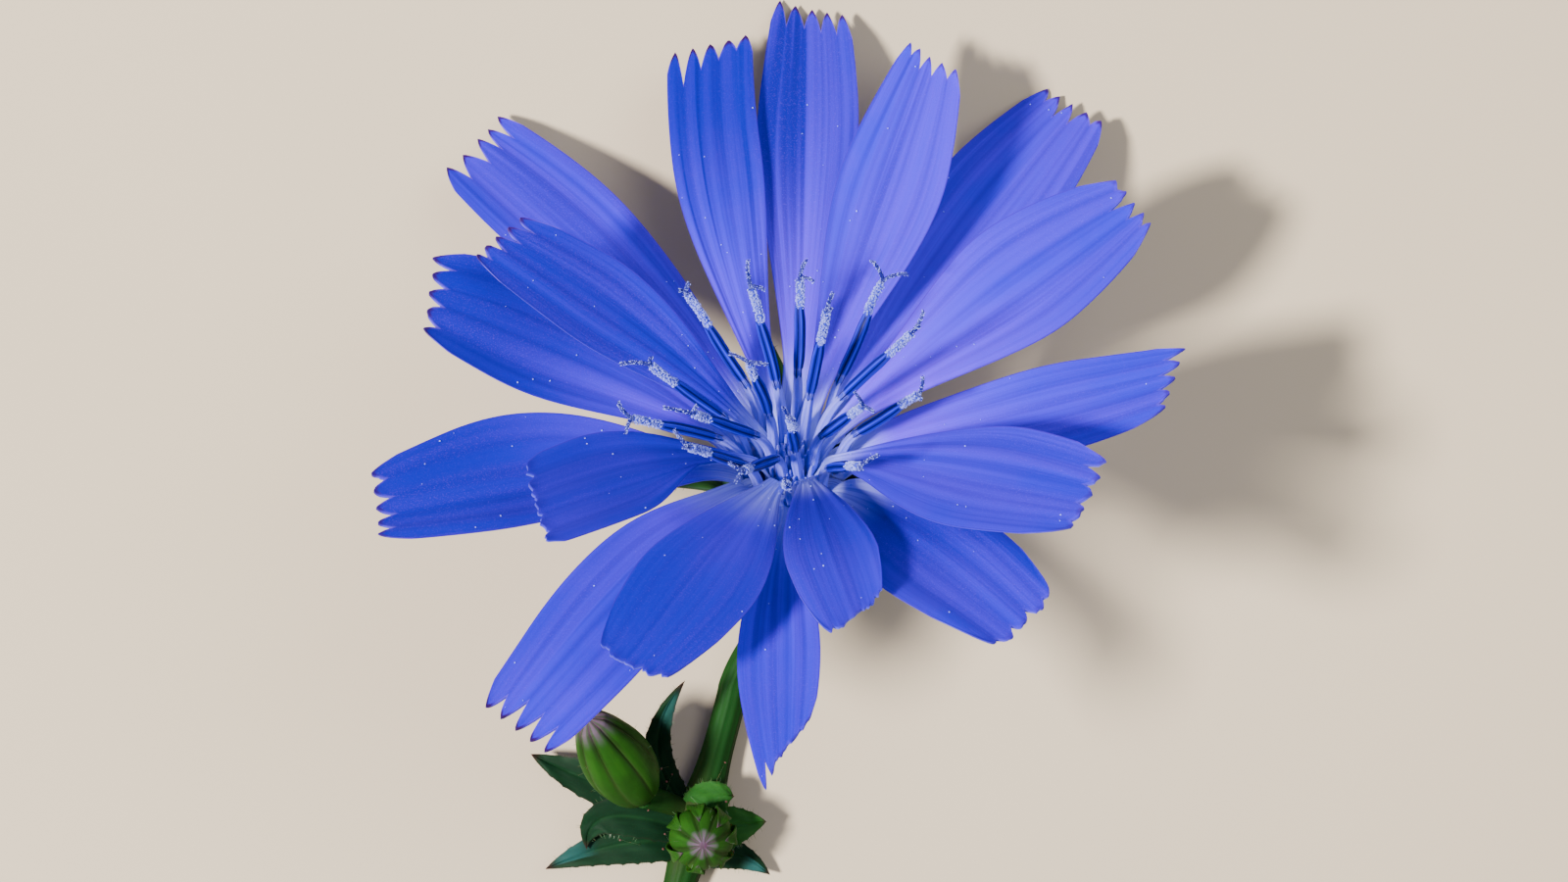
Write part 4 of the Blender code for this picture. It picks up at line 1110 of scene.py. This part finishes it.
def bractShapes(azimuth, tipAzimuth, stations, wide, draw):
    t = np.linspace(0, 1, bractSet["rows"])
    place = passThrough(stations, t)
    line = headPoint(place[:, 0], azimuth + (tipAzimuth - azimuth) * t * t, place[:, 1])
    along = unit(np.gradient(line, axis=0))
    across = sideways(radial(azimuth + 90), along)
    normal = np.cross(along, across)
    t = t[:, None]
    half = wide / 2 * np.maximum(0.02, (1 - t ** 1.8) * (0.75 + 0.5 * t))
    u = np.linspace(-1, 1, bractSet["columns"])
    keel = np.exp(-(u / 0.12) ** 2)
    middle = bladeGrid(line, across, normal, half, u, bractSet["fold"], bractSet["wave"], draw)
    thick = bladeThickness(u, bractSet["thick"], bractSet["thin"])
    blade = greenBlade(
        middle, normal, half, u, thick, keel[None, :, None] * bractSet["keel"],
        along=t * (len(stations) - 1) * 0.3, furrow=keel * 0.25, blush=0.9 * smooth((t - 0.88) / 0.1),
        bloom=0.35 * (np.abs(u) > 0.75))
    hairy = (8, bractSet["rows"] - 2)
    return [blade, edgeHairs(middle, across, along * 0.6 - normal * 0.3, hairy, bractSet, draw)]


def involucreShapes(draw):
    shapes = [cupShape()]
    for k, tip in enumerate(cupSet["tips"]):
        start = cupSet["turn"] + 360 / cupSet["bracts"] * k
        shapes += bractShapes(start, tip, cupSet["stations"], cupSet["width"], draw)
    for azimuth in cupSet["outer"]:
        shapes += bractShapes(azimuth, azimuth, cupSet["outerStations"], cupSet["outerWidth"], draw)
    return shapes


shapes = involucreShapes(np.random.default_rng(60))
makePiece("involucre", shapes, [cupGreen, paleHair], "involucre")
print("involucre made")


# Floor, light and camera: the studio in metres, but the floor's patches and the view in millimetres
studio = {
    "floor": 0.9, "floorColour": (0.52, 0.42, 0.3), "floorPatch": 60.0, "aim": (0.005, 0.02, 0.012),
    "keyFrom": (-0.55, -0.09, 0.83), "keyDistance": 0.55, "keySize": 0.085, "keyPower": 9.7,
    "keyColour": (1.0, 0.97, 0.92), "fillFrom": (0.25, 0.15, 0.5), "fillSize": 0.4, "fillPower": 2.0,
    "fillColour": (0.93, 0.96, 1.0), "sky": 0.4, "skyColour": (0.9, 0.94, 1.0, 1),
}
view = {"place": (4.62, 20.33, 311.2), "width": 76.0, "sensor": 36.0}


def makeFloor():
    size = studio["floor"] / 2
    mesh = bpy.data.meshes.new("floor")
    corners = [(-size, -size, 0), (size, -size, 0), (size, size, 0), (-size, size, 0)]
    mesh.from_pydata(corners, [], [(0, 1, 2, 3)])
    paint, tree = newPaint("floor", 0.8)
    patch = useGroup(tree, blotches, Size=studio["floorPatch"], Low=0.3, High=0.7)["Mask"]
    darker = tuple(part * 0.94 for part in studio["floorColour"])
    mesh.materials.append(finishPaint(paint, mixColour(tree, patch, studio["floorColour"], darker)))
    floor = bpy.data.objects.new("floor", mesh)
    bpy.context.scene.collection.objects.link(floor)


def addLight(name, place, power, size, colour):
    lamp = bpy.data.lights.new(name, "AREA")
    lamp.shape, lamp.size, lamp.energy, lamp.color = "DISK", size, power, colour
    light = bpy.data.objects.new(name, lamp)
    light.location = place
    way = np.array(studio["aim"]) - place
    tilt, turn = math.acos(-way[2] / np.linalg.norm(way)), math.atan2(way[1], way[0]) - math.pi / 2
    light.rotation_euler = (tilt, 0, turn)
    bpy.context.scene.collection.objects.link(light)


def makeStudio():
    key = np.array(studio["aim"]) + unit(np.array(studio["keyFrom"])) * studio["keyDistance"]
    fill = np.array(studio["aim"]) + np.array(studio["fillFrom"])
    addLight("key", key, studio["keyPower"], studio["keySize"], studio["keyColour"])
    addLight("fill", fill, studio["fillPower"], studio["fillSize"], studio["fillColour"])
    world = bpy.data.worlds.new("studio")
    world.use_nodes = True
    sky = world.node_tree.nodes["Background"].inputs
    sky["Color"].default_value = studio["skyColour"]
    sky["Strength"].default_value = studio["sky"]
    bpy.context.scene.world = world


def makeCamera():
    lens = bpy.data.cameras.new("camera")
    lens.sensor_width = view["sensor"]
    lens.lens = view["sensor"] * (view["place"][2] - throat[2]) / view["width"]
    lens.clip_start = 0.01
    camera = bpy.data.objects.new("camera", lens)
    camera.location = [part * mm for part in view["place"]]
    bpy.context.scene.collection.objects.link(camera)
    bpy.context.scene.camera = camera


makeFloor()
makeStudio()
makeCamera()
print("studio made")
